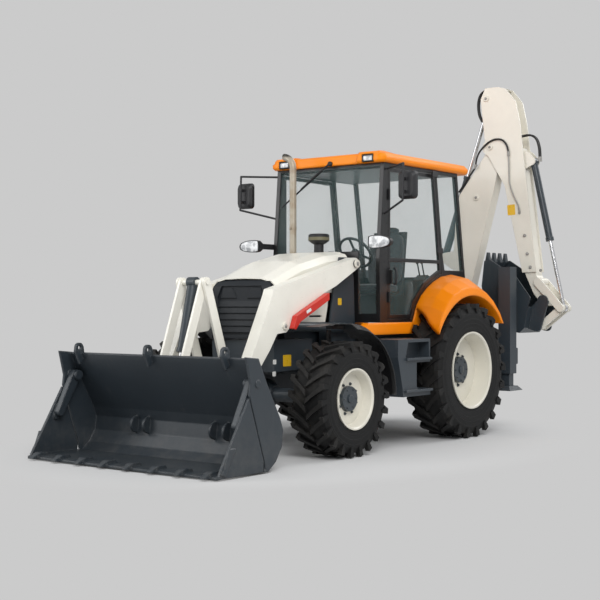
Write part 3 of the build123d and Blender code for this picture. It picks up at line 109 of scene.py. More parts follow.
def setWorld(s):
    world = bpy.data.worlds.new("studioAir")
    world.use_nodes = True
    bpy.context.scene.world = world
    tree = world.node_tree
    tree.nodes.clear()
    out = addNode(tree, "ShaderNodeOutputWorld")
    seen = addNode(tree, "ShaderNodeBackground")
    setInput(seen, "Color", (1, 1, 1, 1))
    setInput(seen, "Strength", s["backdrop"])
    light = addNode(tree, "ShaderNodeBackground")
    setInput(light, "Color", s["worldTone"])
    setInput(light, "Strength", s["worldStrength"])
    path = addNode(tree, "ShaderNodeLightPath")
    mixer = addNode(tree, "ShaderNodeMixShader")
    link(tree, path.outputs["Is Camera Ray"], mixer.inputs[0])
    link(tree, light.outputs[0], mixer.inputs[1])
    link(tree, seen.outputs[0], mixer.inputs[2])
    link(tree, mixer.outputs[0], out.inputs[0])


def addSoftbox(name, place, size, power, aim):
    lamp = bpy.data.lights.new(name, "AREA")
    lamp.shape = "SQUARE"
    lamp.size = size
    lamp.energy = power
    holder = bpy.data.objects.new(name, lamp)
    holder.location = place
    holder.rotation_euler = (Vector(aim) - Vector(place)).to_track_quat("-Z", "Y").to_euler()
    show(holder)


setWorld(studio)
for part in ("key", "fill", "back"):
    place, size, power = (studio[part + what] for what in ("Place", "Size", "Power"))
    addSoftbox(part + "Softbox", place, size, power, studio["aim"])


bothSides = (("left", 1), ("right", -1))


# a shape is (points, faces); shapes are joined into one piece
def gridShape(points, closeRows=False, closeColumns=False, capRows=False):
    # quads between neighbours of a rows x columns grid; capRows closes its first and last row
    points = np.asarray(points, float)
    rows, columns = points.shape[:2]
    i = np.arange(rows if closeRows else rows - 1)
    j = np.arange(columns if closeColumns else columns - 1)
    i, j = np.meshgrid(i, j, indexing="ij")
    nextI, nextJ = (i + 1) % rows, (j + 1) % columns
    corners = [i * columns + j, nextI * columns + j, nextI * columns + nextJ, i * columns + nextJ]
    quads = np.stack(corners, -1)
    faces = quads.reshape(-1, 4).tolist()
    if capRows:
        faces.append(list(range(columns)))
        faces.append(list(range(rows * columns - 1, (rows - 1) * columns - 1, -1)))
    return points.reshape(-1, 3), faces


def joinShapes(shapes):
    # each shape's corner numbers move up by the points before it
    points = []
    faces = []
    count = 0
    for shapePoints, shapeFaces in shapes:
        points.append(shapePoints)
        faces += [[corner + count for corner in face] for face in shapeFaces]
        count += len(shapePoints)
    return np.concatenate(points), faces


def outward(mesh):
    # every closed shell of the mesh gets faces that look out
    work = bmesh.new()
    work.from_mesh(mesh)
    bmesh.ops.recalc_face_normals(work, faces=work.faces)
    work.to_mesh(mesh)
    work.free()


def makePiece(name, shapes, mat, body, sharp=35.0, bevel=0.0, levels=0):
    # smooth, but for edges that bend more than sharp degrees
    points, faces = joinShapes(shapes)
    mesh = bpy.data.meshes.new(name)
    mesh.from_pydata(points.tolist(), [], faces)
    mesh.validate()
    outward(mesh)
    mesh.shade_smooth()
    mesh.set_sharp_from_angle(angle=math.radians(sharp))
    mesh.materials.append(mats[mat])
    piece = bpy.data.objects.new(name, mesh)
    show(piece)
    if bevel:
        edge = piece.modifiers.new("edge", "BEVEL")
        edge.width = bevel
        edge.segments = 2
        edge.limit_method = "ANGLE"
        edge.angle_limit = math.radians(40)
    if levels:
        soften = piece.modifiers.new("soften", "SUBSURF")
        soften.levels = levels
        soften.render_levels = levels
    if body:
        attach(piece, body)
    return piece


def axesFrom(direction):
    # a direction as a unit vector, and two more square to it
    direction = np.asarray(direction, float)
    direction = direction / np.linalg.norm(direction)
    helper = np.array([0.0, 0.0, 1.0]) if abs(direction[2]) < 0.9 else np.array([1.0, 0.0, 0.0])
    across = np.cross(helper, direction)
    across /= np.linalg.norm(across)
    return direction, across, np.cross(direction, across)


def revolve(start, direction, profile, sides):
    # a profile of (along, radius) carried round: start + along * direction + radius * (cos t, sin t)
    direction, across, up = axesFrom(direction)
    angle = np.linspace(0, 2 * np.pi, sides, endpoint=False)
    profile = np.asarray(profile, float)
    ring = np.cos(angle)[:, None] * across + np.sin(angle)[:, None] * up
    along, radius = profile[:, 0, None, None], profile[:, 1, None, None]
    return np.asarray(start, float) + along * direction + radius * ring


def turned(start, direction, profile, sides=32):
    # the same as a closed solid
    return gridShape(revolve(start, direction, profile, sides), closeColumns=True, capRows=True)


def smoothBetween(a, b, c, d, t):
    # the cubic from b to c, t from 0 to 1, with slopes (c - a) / 2 and (d - b) / 2 at its ends
    bend = 2 * a - 5 * b + 4 * c - d
    twist = 3 * b - a - 3 * c + d
    return 0.5 * (2 * b + (c - a) * t + bend * t ** 2 + twist * t ** 3)


def pipe(route, radius, sides=12, steps=6):
    # a circle carried along a smooth line through the route's points: line + radius * (cos t, sin t)
    route = np.asarray(route, float)
    if len(route) > 2 and steps > 1:
        padded = np.vstack([2 * route[0] - route[1], route, 2 * route[-1] - route[-2]])
        t = np.linspace(0, 1, steps, endpoint=False)[None, :, None]
        a, b, c, d = (padded[k:len(padded) - 3 + k][:, None, :] for k in range(4))
        route = np.vstack([smoothBetween(a, b, c, d, t).reshape(-1, 3), route[-1]])
    tangent = np.gradient(route, axis=0)
    tangent /= np.linalg.norm(tangent, axis=1)[:, None]
    helper = axesFrom(route[-1] - route[0])[1]
    across = helper - (tangent @ helper)[:, None] * tangent
    across /= np.linalg.norm(across, axis=1)[:, None]
    up = np.cross(tangent, across)
    angle = np.linspace(0, 2 * np.pi, sides, endpoint=False)
    cos, sin = np.cos(angle)[None, :, None], np.sin(angle)[None, :, None]
    ring = cos * across[:, None, :] + sin * up[:, None, :]
    return gridShape(route[:, None, :] + radius * ring, closeColumns=True, capRows=True)


def slabBetween(outline, origin, across, up, thick):
    # an outline in the plane of two directions, given a thickness on their right-hand side
    outline = np.asarray(outline, float)
    across, up = (np.asarray(v, float) / np.linalg.norm(v) for v in (across, up))
    out = np.cross(across, up)
    flat = np.asarray(origin, float) + outline[:, 0, None] * across + outline[:, 1, None] * up
    return gridShape(np.stack([flat, flat + thick * out]), closeColumns=True, capRows=True)


def roundedOutline(width, height, corner, steps=5):
    # rectangle about the middle with quarter circles at its corners
    t = np.linspace(0, np.pi / 2, steps)
    arcs = []
    for k, (sx, sy) in enumerate(((1, 1), (-1, 1), (-1, -1), (1, -1))):
        arcs.append(np.stack([sx * (width / 2 - corner) + corner * np.cos(t + k * np.pi / 2),
                              sy * (height / 2 - corner) + corner * np.sin(t + k * np.pi / 2)], 1))
    return np.concatenate(arcs)


def boltHead(place, direction, radius, height):
    # hexagon with a chamfered top on a round washer
    washer = turned(place, direction, [(0, radius * 1.5), (height * 0.25, radius * 1.5)], 16)
    profile = [(height * 0.25, radius), (height * 0.85, radius), (height, radius * 0.82)]
    return [washer, turned(place, direction, profile, 6)]


def setFloor(s):
    reach = s["floorReach"]
    mesh = bpy.data.meshes.new("studioFloor")
    corners = [(-reach, -reach, 0), (reach, -reach, 0), (reach, reach, 0), (-reach, reach, 0)]
    mesh.from_pydata(corners, [], [(0, 1, 2, 3)])
    floor = bpy.data.objects.new("studioFloor", mesh)
    show(floor)
    mat = bpy.data.materials.new("paleFloor")
    mat.use_nodes = True
    tree = mat.node_tree
    shader = tree.nodes["Principled BSDF"]
    setInput(shader, "Base Color", s["floorTone"])
    setInput(shader, "Roughness", s["floorRough"])
    setInput(shader, "Specular IOR Level", s["floorShine"])
    glow = addNode(tree, "ShaderNodeEmission")
    setInput(glow, "Color", (1, 1, 1, 1))
    setInput(glow, "Strength", s["backdrop"])
    place = addNode(tree, "ShaderNodeTexCoord")
    squeeze = addNode(tree, "ShaderNodeMapping")
    setInput(squeeze, "Location", s["patchShift"])
    setInput(squeeze, "Scale", s["patchScale"])
    far = addNode(tree, "ShaderNodeVectorMath", operation="LENGTH")
    ramp = addNode(tree, "ShaderNodeMapRange", interpolation_type="SMOOTHSTEP")
    setInput(ramp, "From Min", s["fade"][0])
    setInput(ramp, "From Max", s["fade"][1])
    path = addNode(tree, "ShaderNodeLightPath")
    both = addNode(tree, "ShaderNodeMath", operation="MULTIPLY")
    mixer = addNode(tree, "ShaderNodeMixShader")
    link(tree, place.outputs["Object"], squeeze.inputs["Vector"])
    link(tree, squeeze.outputs[0], far.inputs[0])
    link(tree, far.outputs["Value"], ramp.inputs["Value"])
    link(tree, ramp.outputs["Result"], both.inputs[0])
    link(tree, path.outputs["Is Camera Ray"], both.inputs[1])
    link(tree, both.outputs[0], mixer.inputs[0])
    link(tree, shader.outputs[0], mixer.inputs[1])
    link(tree, glow.outputs[0], mixer.inputs[2])
    link(tree, mixer.outputs[0], tree.nodes["Material Output"].inputs["Surface"])
    floor.data.materials.append(mat)


setFloor(studio)
print("studio ready")


# shader groups shared by several materials
def newGroup(name, inputs, outputs):
    tree = bpy.data.node_groups.new(name, "ShaderNodeTree")
    for label, kind, value in inputs:
        socket = tree.interface.new_socket(label, in_out="INPUT", socket_type="NodeSocket" + kind)
        if value is not None:
            socket.default_value = value
    for label, kind in outputs:
        tree.interface.new_socket(label, in_out="OUTPUT", socket_type="NodeSocket" + kind)
    return tree, addNode(tree, "NodeGroupInput"), addNode(tree, "NodeGroupOutput")


def noiseNode(tree, vector, scale, detail=4.0, rough=0.55, stretch=None):
    if stretch:
        mapping = addNode(tree, "ShaderNodeMapping")
        setInput(mapping, "Scale", stretch)
        link(tree, vector, mapping.inputs["Vector"])
        vector = mapping.outputs[0]
    noise = addNode(tree, "ShaderNodeTexNoise")
    setInput(noise, "Scale", scale)
    setInput(noise, "Detail", detail)
    setInput(noise, "Roughness", rough)
    link(tree, vector, noise.inputs["Vector"])
    return noise.outputs["Fac"]


def feed(tree, value, socket):
    # a number, a colour or another node's output
    if isinstance(value, (int, float)):
        socket.default_value = value
    elif isinstance(value, tuple):
        socket.default_value = value + (1,) if len(value) == 3 and socket.type == "RGBA" else value
    else:
        link(tree, value, socket)


def rangeNode(tree, value, low, high, toLow=0.0, toHigh=1.0, smooth=True):
    node = addNode(tree, "ShaderNodeMapRange", interpolation_type="SMOOTHSTEP" if smooth else "LINEAR")
    for label, amount in (("From Min", low), ("From Max", high), ("To Min", toLow), ("To Max", toHigh)):
        feed(tree, amount, node.inputs[label])
    link(tree, value, node.inputs["Value"])
    return node.outputs["Result"]


def spread(tree, noise, low, high):
    # noise lies mostly between 0.3 and 0.7; this stretches it over low to high
    return rangeNode(tree, noise, 0.3, 0.7, low, high, False)


def mathNode(tree, operation, a, b=None, clamp=False):
    node = addNode(tree, "ShaderNodeMath", operation=operation, use_clamp=clamp)
    for i, value in enumerate((a, b)):
        if value is not None:
            feed(tree, value, node.inputs[i])
    return node.outputs[0]


def times(tree, a, b, clamp=False):
    return mathNode(tree, "MULTIPLY", a, b, clamp)


def mixColour(tree, amount, a, b):
    node = addNode(tree, "ShaderNodeMix", data_type="RGBA")
    feed(tree, a, node.inputs[6])
    feed(tree, b, node.inputs[7])
    feed(tree, amount, node.inputs[0])
    return node.outputs[2]


def splitAxes(tree, vector):
    node = addNode(tree, "ShaderNodeSeparateXYZ")
    link(tree, vector, node.inputs[0])
    return node.outputs


# noise is given as (scale, detail, roughness, stretch), bump as (metres, strength), rough as a
# roughness or its range, and edges as (from, to) or (from low, from high, to low, to high)
paintGrain = {
    "coarse": (2.6, 5.0), "fine": (38.0, 4.0, 0.65), "streak": (11.0, 5.0, 0.6, (1.0, 1.0, 0.1)),
    "rubbed": (24.0, 6.0, 0.7, (1.0, 0.22, 0.9)), "patch": (6.5, 6.0, 0.7), "peel": (260.0, 2.0),
}
paintEdge = {
    "corner": (0.99, 0.8), "chip": (0.48, 0.66), "rub": (0.68, 0.76), "rubArea": (0.50, 0.64),
    "streak": (0.58, 0.86), "patch": (0.34, 0.8), "flat": (0.6, 1.0), "lying": (0.38, 0.7),
}
paintShare = {
    "shade": (0.95, 1.04), "grainRough": (-0.04, 0.06), "dustRough": 0.4, "lying": 0.35,
    "peel": 0.12, "chip": 0.5, "bump": (0.0015, 0.5),
}


def makePaintGroup(grain, edge, share):
    # sprayed paint: slight mottle, orange peel, worn corners, faint streaks and rising dust
    tree, gin, gout = newGroup("wornPaint", [
        ("Position", "Vector", None), ("Paint", "Color", (1, 1, 1, 1)),
        ("Under", "Color", (0.2, 0.2, 0.2, 1)),
        ("Dust", "Color", (0.30, 0.27, 0.23, 1)), ("Wear", "Float", 0.5), ("Dirt", "Float", 0.4),
        ("Dust Top", "Float", 1.2), ("Base Roughness", "Float", 0.35), ("Corner", "Float", 0.006)],
        [("Colour", "Color"), ("Roughness", "Float"), ("Normal", "Vector"), ("Height", "Float")])
    pos = gin.outputs["Position"]
    soft = addNode(tree, "ShaderNodeBevel", samples=4)
    link(tree, gin.outputs["Corner"], soft.inputs["Radius"])
    geo = addNode(tree, "ShaderNodeNewGeometry")
    dot = addNode(tree, "ShaderNodeVectorMath", operation="DOT_PRODUCT")
    link(tree, soft.outputs["Normal"], dot.inputs[0])
    link(tree, geo.outputs["Normal"], dot.inputs[1])
    corner = rangeNode(tree, dot.outputs["Value"], *edge["corner"])
    coarse, fine, streak = (noiseNode(tree, pos, *grain[key]) for key in ("coarse", "fine", "streak"))
    chips = times(tree, corner, rangeNode(tree, fine, *edge["chip"]))
    rubbed = noiseNode(tree, pos, *grain["rubbed"])
    scuff = times(tree, rangeNode(tree, rubbed, *edge["rub"]),
                     rangeNode(tree, coarse, *edge["rubArea"]))
    bare = mathNode(tree, "MAXIMUM", chips, scuff)
    bare = times(tree, bare, gin.outputs["Wear"], True)
    shade = spread(tree, coarse, *share["shade"])
    tint = addNode(tree, "ShaderNodeVectorMath", operation="SCALE")
    link(tree, gin.outputs["Paint"], tint.inputs[0])
    link(tree, shade, tint.inputs["Scale"])
    runs = times(tree, rangeNode(tree, streak, *edge["streak"]), gin.outputs["Dirt"])
    streaked = mixColour(tree, runs, tint.outputs[0], gin.outputs["Dust"])
    rise = rangeNode(tree, splitAxes(tree, pos)["Z"], gin.outputs["Dust Top"], 0.0)
    patch = rangeNode(tree, noiseNode(tree, pos, *grain["patch"]), *edge["patch"])
    patch = times(tree, rise, patch)
    flat = rangeNode(tree, splitAxes(tree, geo.outputs["Normal"])["Z"], *edge["flat"])
    lying = times(tree, flat, rangeNode(tree, coarse, *edge["lying"]))
    dusty = mathNode(tree, "MAXIMUM", patch, times(tree, lying, share["lying"]))
    dusty = times(tree, dusty, gin.outputs["Dirt"], True)
    coated = mixColour(tree, dusty, streaked, gin.outputs["Dust"])
    link(tree, mixColour(tree, bare, coated, gin.outputs["Under"]), gout.inputs["Colour"])
    rough = times(tree, dusty, share["dustRough"])
    rough = mathNode(tree, "ADD", gin.outputs["Base Roughness"], rough)
    rough = mathNode(tree, "ADD", rough, spread(tree, fine, *share["grainRough"]), True)
    link(tree, rough, gout.inputs["Roughness"])
    link(tree, soft.outputs["Normal"], gout.inputs["Normal"])
    peel = times(tree, noiseNode(tree, pos, *grain["peel"]), share["peel"])
    sunk = times(tree, bare, share["chip"])
    link(tree, mathNode(tree, "SUBTRACT", peel, sunk), gout.inputs["Height"])
    return tree


def makeHubGroup():
    # distance from a wheel's axle, sqrt(x^2 + z^2), and the turn about it, atan2(z, x)
    inputs = [("Position", "Vector", None), ("Hub X", "Float", 0.0), ("Hub Z", "Float", 0.5)]
    tree, gin, gout = newGroup("hubDistance", inputs, [("Radius", "Float"), ("Turn", "Float")])
    axes = splitAxes(tree, gin.outputs["Position"])
    x = mathNode(tree, "SUBTRACT", axes["X"], gin.outputs["Hub X"])
    z = mathNode(tree, "SUBTRACT", axes["Z"], gin.outputs["Hub Z"])
    square = mathNode(tree, "ADD", times(tree, x, x), times(tree, z, z))
    link(tree, mathNode(tree, "SQRT", square), gout.inputs["Radius"])
    link(tree, mathNode(tree, "ARCTAN2", z, x), gout.inputs["Turn"])
    return tree


paintGroup = makePaintGroup(paintGrain, paintEdge, paintShare)
hubGroup = makeHubGroup()


def newMaterial(name):
    mat = bpy.data.materials.new(name)
    mat.use_nodes = True
    tree = mat.node_tree
    place = addNode(tree, "ShaderNodeTexCoord").outputs["Object"]
    return mat, tree, tree.nodes["Principled BSDF"], place


def addBump(tree, shader, height, normal, distance, strength):
    bump = addNode(tree, "ShaderNodeBump")
    setInput(bump, "Strength", strength)
    setInput(bump, "Distance", distance)
    link(tree, height, bump.inputs["Height"])
    if normal is not None:
        link(tree, normal, bump.inputs["Normal"])
    link(tree, bump.outputs["Normal"], shader.inputs["Normal"])


def setSurface(tree, shader, colour, grain, rough):
    # a colour, and a roughness that follows the grain
    link(tree, colour, shader.inputs["Base Color"])
    link(tree, spread(tree, grain, *rough), shader.inputs["Roughness"])


def addSkin(tree, shader, pos, finish, paint=None):
    # the shared paint with one finish's own values; paint may be a socket
    skin = addNode(tree, "ShaderNodeGroup", node_tree=paintGroup)
    link(tree, pos, skin.inputs["Position"])
    feed(tree, finish["paint"] if paint is None else paint, skin.inputs["Paint"])
    for label, key in (("Under", "under"), ("Dust", "dust"), ("Wear", "wear"), ("Dirt", "dirt"),
                       ("Dust Top", "dustTop"), ("Base Roughness", "rough"), ("Corner", "corner")):
        if key in finish:
            feed(tree, finish[key], skin.inputs[label])
    link(tree, skin.outputs["Colour"], shader.inputs["Base Color"])
    link(tree, skin.outputs["Roughness"], shader.inputs["Roughness"])
    addBump(tree, shader, skin.outputs["Height"], skin.outputs["Normal"], *paintShare["bump"])


def paintMaterial(name, finish):
    mat, tree, shader, pos = newMaterial(name)
    addSkin(tree, shader, pos, finish)
    setInput(shader, "Specular IOR Level", finish.get("shine", 0.5))
    if "coat" in finish:
        setInput(shader, "Coat Weight", finish["coat"])
        setInput(shader, "Coat Roughness", finish["coatRough"])
    return mat


# paints and plastics: colour, what shows where it is worn, how worn and dirty, height that dust reaches
finishes = {
    "creamPaint": dict(paint=(0.875, 0.85, 0.765), under=(0.34, 0.30, 0.25), wear=0.4, dirt=0.10,
                       dustTop=1.1, rough=0.30, coat=0.2, coatRough=0.12),
    # hoe: the cream paint made darker and greyer, partly painted shade for the shadowed boom and dipper,
    # partly dirtier paint
    "hoeShadedPaint": dict(paint=(0.79, 0.755, 0.665), under=(0.34, 0.30, 0.25), wear=0.4, dirt=0.10,
                     dustTop=1.1, rough=0.32, coat=0.15, coatRough=0.12),
    "orangePaint": dict(paint=(1.0, 0.272, 0.002), under=(0.30, 0.16, 0.08), wear=0.0, dirt=0.03,
                        dustTop=0.9, rough=0.34, corner=0.035, shine=0.3),
    "slatePaint": dict(paint=(0.030, 0.040, 0.049), under=(0.26, 0.25, 0.24), wear=0.55, dirt=0.12,
                       dustTop=0.6, rough=0.36),
    "chassisPaint": dict(paint=(0.034, 0.044, 0.054), under=(0.14, 0.14, 0.14), wear=0.4, dirt=0.12,
                         dustTop=1.0, rough=0.40),
    "bucketPaint": dict(paint=(0.026, 0.034, 0.042), under=(0.20, 0.20, 0.20), wear=0.25, dirt=0.12,
                        dustTop=0.6, rough=0.36, corner=0.02),
    "grillePaint": dict(paint=(0.019, 0.022, 0.026), under=(0.10, 0.10, 0.10), wear=0.3, dirt=0.06,
                        dustTop=1.0, rough=0.46, corner=0.012, shine=0.22),
    "blackPaint": dict(paint=(0.012, 0.012, 0.013), under=(0.09, 0.09, 0.09), wear=0.25, dirt=0.06,
                       dustTop=1.0, rough=0.30),
    "redPaint": dict(paint=(0.62, 0.022, 0.010), under=(0.30, 0.18, 0.15), wear=0.4, dirt=0.06,
                     dustTop=1.0, rough=0.32),
    "moulding": dict(paint=(0.016, 0.016, 0.018), under=(0.05, 0.05, 0.05), wear=0.15, dirt=0.06,
                     dustTop=1.0, rough=0.48),
    "bareSteel": dict(paint=(0.33, 0.32, 0.30), under=(0.48, 0.46, 0.43), wear=0.7, dirt=0.2,
                      dustTop=0.7, rough=0.36),
    "yellowPlate": dict(paint=(0.80, 0.48, 0.02), under=(0.4, 0.3, 0.1), wear=0.1, dirt=0.1,
                        dustTop=1.0, rough=0.28, corner=0.0006),
    "whitePlate": dict(paint=(0.80, 0.80, 0.78), under=(0.4, 0.4, 0.4), wear=0.1, dirt=0.1,
                       dustTop=1.0, rough=0.28, corner=0.0006),
    "oliveBand": dict(paint=(0.16, 0.145, 0.085), under=(0.1, 0.1, 0.08), wear=0.2, dirt=0.15,
                      dustTop=1.0, rough=0.40),
}
mats = {name: paintMaterial(name, finish) for name, finish in finishes.items()}

# hoses: black rubber with a little dust
hoseLook = {
    "tone": (0.010, 0.010, 0.0103), "dust": (0.10, 0.092, 0.08), "dusty": 0.10,
    "patch": (5.0, 6.0, 0.65), "patchEdge": (0.45, 0.8), "grain": (90.0, 4.0, 0.7),
    "rough": (0.45, 0.63), "bump": (0.0010, 0.35),
}


def hoseMaterial(look):
    mat, tree, shader, pos = newMaterial("hoseRubber")
    patch = rangeNode(tree, noiseNode(tree, pos, *look["patch"]), *look["patchEdge"])
    fine = noiseNode(tree, pos, *look["grain"])
    mask = times(tree, patch, look["dusty"])
    setSurface(tree, shader, mixColour(tree, mask, look["tone"], look["dust"]), fine, look["rough"])
    addBump(tree, shader, fine, None, *look["bump"])
    return mat


# wheel centres as (x, z)
hubs = {"front": (2.165, 0.545), "rear": (0.0, 0.722)}


def hubPlace(tree, pos, hub):
    node = addNode(tree, "ShaderNodeGroup", node_tree=hubGroup)
    link(tree, pos, node.inputs["Position"])
    node.inputs["Hub X"].default_value, node.inputs["Hub Z"].default_value = hub
    return node.outputs


# tyres: rings on the sidewall, fine ribs near the bead, scuffed lug tops; measures from tread or rim
tyreLook = {
    "front": dict(tread=0.511, rim=0.302), "rear": dict(tread=0.688, rim=0.426),
    "tone": (0.0050, 0.0050, 0.00515), "scuff": (0.022, 0.021, 0.020), "dust": (0.045, 0.041, 0.036),
    "patch": (5.0, 6.0, 0.65), "patchEdge": (0.42, 0.75, 0.0, 0.5), "dustDepth": 0.12,
    "grain": (110.0, 4.0, 0.7), "scuffEdge": (0.3, 0.65, 0.45, 1.0), "lugTop": (0.018, 0.03),
    "rough": (0.55, 0.74), "shine": 0.3, "wallEdge": (0.055, 0.07),
    "firstRing": 0.028, "ringStep": 0.024, "ringWidth": 0.0035,
    "ribsIn": (0.006, 0.01), "ribsOut": (0.05, 0.045), "ribTurns": 150.0, "ribShare": 0.35,
    "grainShare": 0.12, "bump": (0.004, 0.7),
}


def tyreMaterial(name, look, end):
    mat, tree, shader, pos = newMaterial(name)
    tread, rim = look[end]["tread"], look[end]["rim"]
    hub = hubPlace(tree, pos, hubs[end])
    radius = hub["Radius"]
    patch = noiseNode(tree, pos, *look["patch"])
    fine = noiseNode(tree, pos, *look["grain"])
    lugTops = rangeNode(tree, radius, *(tread + edge for edge in look["lugTop"]))
    worn = times(tree, lugTops, rangeNode(tree, fine, *look["scuffEdge"]))
    shoulder = rangeNode(tree, radius, tread - look["dustDepth"], tread)
    low = times(tree, shoulder, rangeNode(tree, patch, *look["patchEdge"]))
    colour = mixColour(tree, low, look["tone"], look["dust"])
    setSurface(tree, shader, mixColour(tree, worn, colour, look["scuff"]), fine, look["rough"])
    setInput(shader, "Specular IOR Level", look["shine"])
    # sidewall relief: raised rings at even steps, and a band of short radial ribs outside the rim
    rings = mathNode(tree, "SUBTRACT", radius, rim + look["firstRing"])
    rings = mathNode(tree, "PINGPONG", rings, look["ringStep"])
    ridge = rangeNode(tree, rings, 0.0, look["ringWidth"], 1.0, 0.0)
    band = times(tree, rangeNode(tree, radius, *(rim + edge for edge in look["ribsIn"])),
                    rangeNode(tree, radius, *(rim + edge for edge in look["ribsOut"])))
    ribs = mathNode(tree, "SINE", times(tree, hub["Turn"], look["ribTurns"]))
    ribs = times(tree, ribs, times(tree, band, look["ribShare"]))
    wall = rangeNode(tree, radius, *(tread - edge for edge in look["wallEdge"]))
    height = times(tree, mathNode(tree, "ADD", ridge, ribs), wall)
    height = mathNode(tree, "ADD", height, times(tree, fine, look["grainShare"]))
    addBump(tree, shader, height, None, *look["bump"])
    return mat


# rims: cream dish, darker than the cream paint as painted shade, slate drum in the middle, with each
# drum's radius
rimLook = {
    "front": 0.1225, "rear": 0.1425, "edge": 0.001, "shadedDish": (0.72, 0.69, 0.60),
    "dustTop": 0.5, "dirt": 0.12, "coat": 0.15,
}


def rimMaterial(name, look, end):
    mat, tree, shader, pos = newMaterial(name)
    radius = hubPlace(tree, pos, hubs[end])["Radius"]
    inside = rangeNode(tree, radius, look[end] + look["edge"], look[end] - look["edge"])
    # the dish is the cream paint darkened: painted shade
    paint = mixColour(tree, inside, look["shadedDish"], finishes["slatePaint"]["paint"])
    finish = dict(finishes["creamPaint"], dustTop=look["dustTop"], dirt=look["dirt"])
    addSkin(tree, shader, pos, finish, paint)
    setInput(shader, "Coat Weight", look["coat"])
    return mat


# bright metal: clean and filmed tones
metalLooks = {
    "rodChrome": dict(grain=(70.0, 3.0), tones=((0.74, 0.74, 0.76), (0.60, 0.59, 0.58)),
                      filmEdge=(0.4, 0.7), rough=(0.10, 0.24)),
    "mirrorFace": dict(grain=(8.0, 4.0), tones=((0.82, 0.84, 0.85), (0.72, 0.74, 0.75)),
                       filmEdge=(0.4, 0.7), rough=(0.03, 0.09)),
}


def metalMaterial(name, look):
    mat, tree, shader, pos = newMaterial(name)
    setInput(shader, "Metallic", 1.0)
    film = noiseNode(tree, pos, *look["grain"])
    tone = mixColour(tree, rangeNode(tree, film, *look["filmEdge"]), *look["tones"])
    setSurface(tree, shader, tone, film, look["rough"])
    return mat


# exhaust: pale heat-stained steel, soot at the mouth
stackLook = {
    "steel": (0.47, 0.42, 0.34), "warm": (0.36, 0.29, 0.21), "soot": (0.02, 0.018, 0.016),
    "mouth": (2.955, 2.99), "bands": (3.0, 4.0, 0.6, (1.0, 1.0, 1.6)), "bandEdge": (0.4, 0.66),
    "grain": (60.0, 4.0, 0.7), "sootEdge": (0.25, 0.6, 0.55, 1.0), "metal": 0.35,
    "rough": (0.34, 0.52), "bump": (0.0008, 0.4),
}


def stackMaterial(look):
    mat, tree, shader, pos = newMaterial("stackSteel")
    height = splitAxes(tree, pos)["Z"]
    bands = noiseNode(tree, pos, *look["bands"])
    fine = noiseNode(tree, pos, *look["grain"])
    base = mixColour(tree, rangeNode(tree, bands, *look["bandEdge"]), look["steel"], look["warm"])
    soot = times(tree, rangeNode(tree, height, *look["mouth"]),
                    rangeNode(tree, fine, *look["sootEdge"]))
    tone = mixColour(tree, soot, base, look["soot"])
    setSurface(tree, shader, tone, fine, look["rough"])
    setInput(shader, "Metallic", look["metal"])
    addBump(tree, shader, fine, None, *look["bump"])
    return mat


# cab glass: thin tinted panes with a faint, patchy film of dust
glassLook = {
    "tint": (0.34, 0.52, 0.52, 1), "opacity": 0.05, "rough": 0.03, "ior": 1.45,
    "grain": (3.0, 5.0, 0.6), "filmEdge": (0.35, 0.75, 0.0, 0.02),
}


def glassMaterial(look):
    mat, tree, shader, pos = newMaterial("cabGlass")
    film = rangeNode(tree, noiseNode(tree, pos, *look["grain"]), *look["filmEdge"])
    setInput(shader, "Base Color", look["tint"])
    setInput(shader, "Roughness", look["rough"])
    setInput(shader, "IOR", look["ior"])
    link(tree, mathNode(tree, "ADD", film, look["opacity"]), shader.inputs["Alpha"])
    return mat


# lamp lens: clear ribbed cover over a bright bowl
lensLook = {
    "flutes": 520.0, "cells": (17.0, 2.0, 0.5), "cellEdge": (0.38, 0.62),
    "dark": (0.42, 0.43, 0.45), "bright": (0.93, 0.94, 0.95), "rough": (0.06, 0.16),
    "coat": 1.0, "bump": (0.002, 0.6),
}


def lensMaterial(look):
    mat, tree, shader, pos = newMaterial("lampLens")
    flutes = times(tree, splitAxes(tree, pos)["Y"], look["flutes"])
    flutes = mathNode(tree, "SINE", flutes)
    cells = noiseNode(tree, pos, *look["cells"])
    tone = mixColour(tree, rangeNode(tree, cells, *look["cellEdge"]), look["dark"], look["bright"])
    setSurface(tree, shader, tone, cells, look["rough"])
    setInput(shader, "Coat Weight", look["coat"])
    addBump(tree, shader, mathNode(tree, "ADD", flutes, cells), None, *look["bump"])
    return mat


# seat cloth: fine weave over a soft nap
clothLook = {
    "weave": 2400.0, "weaveShare": 0.3, "nap": (30.0, 5.0, 0.7), "napEdge": (0.35, 0.7),
    "dark": (0.022, 0.023, 0.026), "pale": (0.055, 0.056, 0.06), "rough": (0.82, 0.95),
    "sheen": 0.3, "bump": (0.001, 0.5),
}


def clothMaterial(look):
    mat, tree, shader, pos = newMaterial("seatCloth")
    axes = splitAxes(tree, pos)
    weft = times(tree, mathNode(tree, "ADD", axes["X"], axes["Z"]), look["weave"])
    warp = times(tree, axes["Y"], look["weave"])
    weave = times(tree, mathNode(tree, "SINE", weft), mathNode(tree, "SINE", warp))
    nap = noiseNode(tree, pos, *look["nap"])
    tone = mixColour(tree, rangeNode(tree, nap, *look["napEdge"]), look["dark"], look["pale"])
    setSurface(tree, shader, tone, nap, look["rough"])
    setInput(shader, "Sheen Weight", look["sheen"])
    height = mathNode(tree, "ADD", times(tree, weave, look["weaveShare"]), nap)
    addBump(tree, shader, height, None, *look["bump"])
    return mat


for end in hubs:
    mats[end + "Tyre"] = tyreMaterial(end + "Tyre", tyreLook, end)
    mats[end + "Rim"] = rimMaterial(end + "Rim", rimLook, end)
mats["hoseRubber"] = hoseMaterial(hoseLook)
mats["stackSteel"] = stackMaterial(stackLook)
mats["cabGlass"] = glassMaterial(glassLook)
mats["lampLens"] = lensMaterial(lensLook)
mats["seatCloth"] = clothMaterial(clothLook)
for name, look in metalLooks.items():
    mats[name] = metalMaterial(name, look)
print("materials ready:", len(mats))

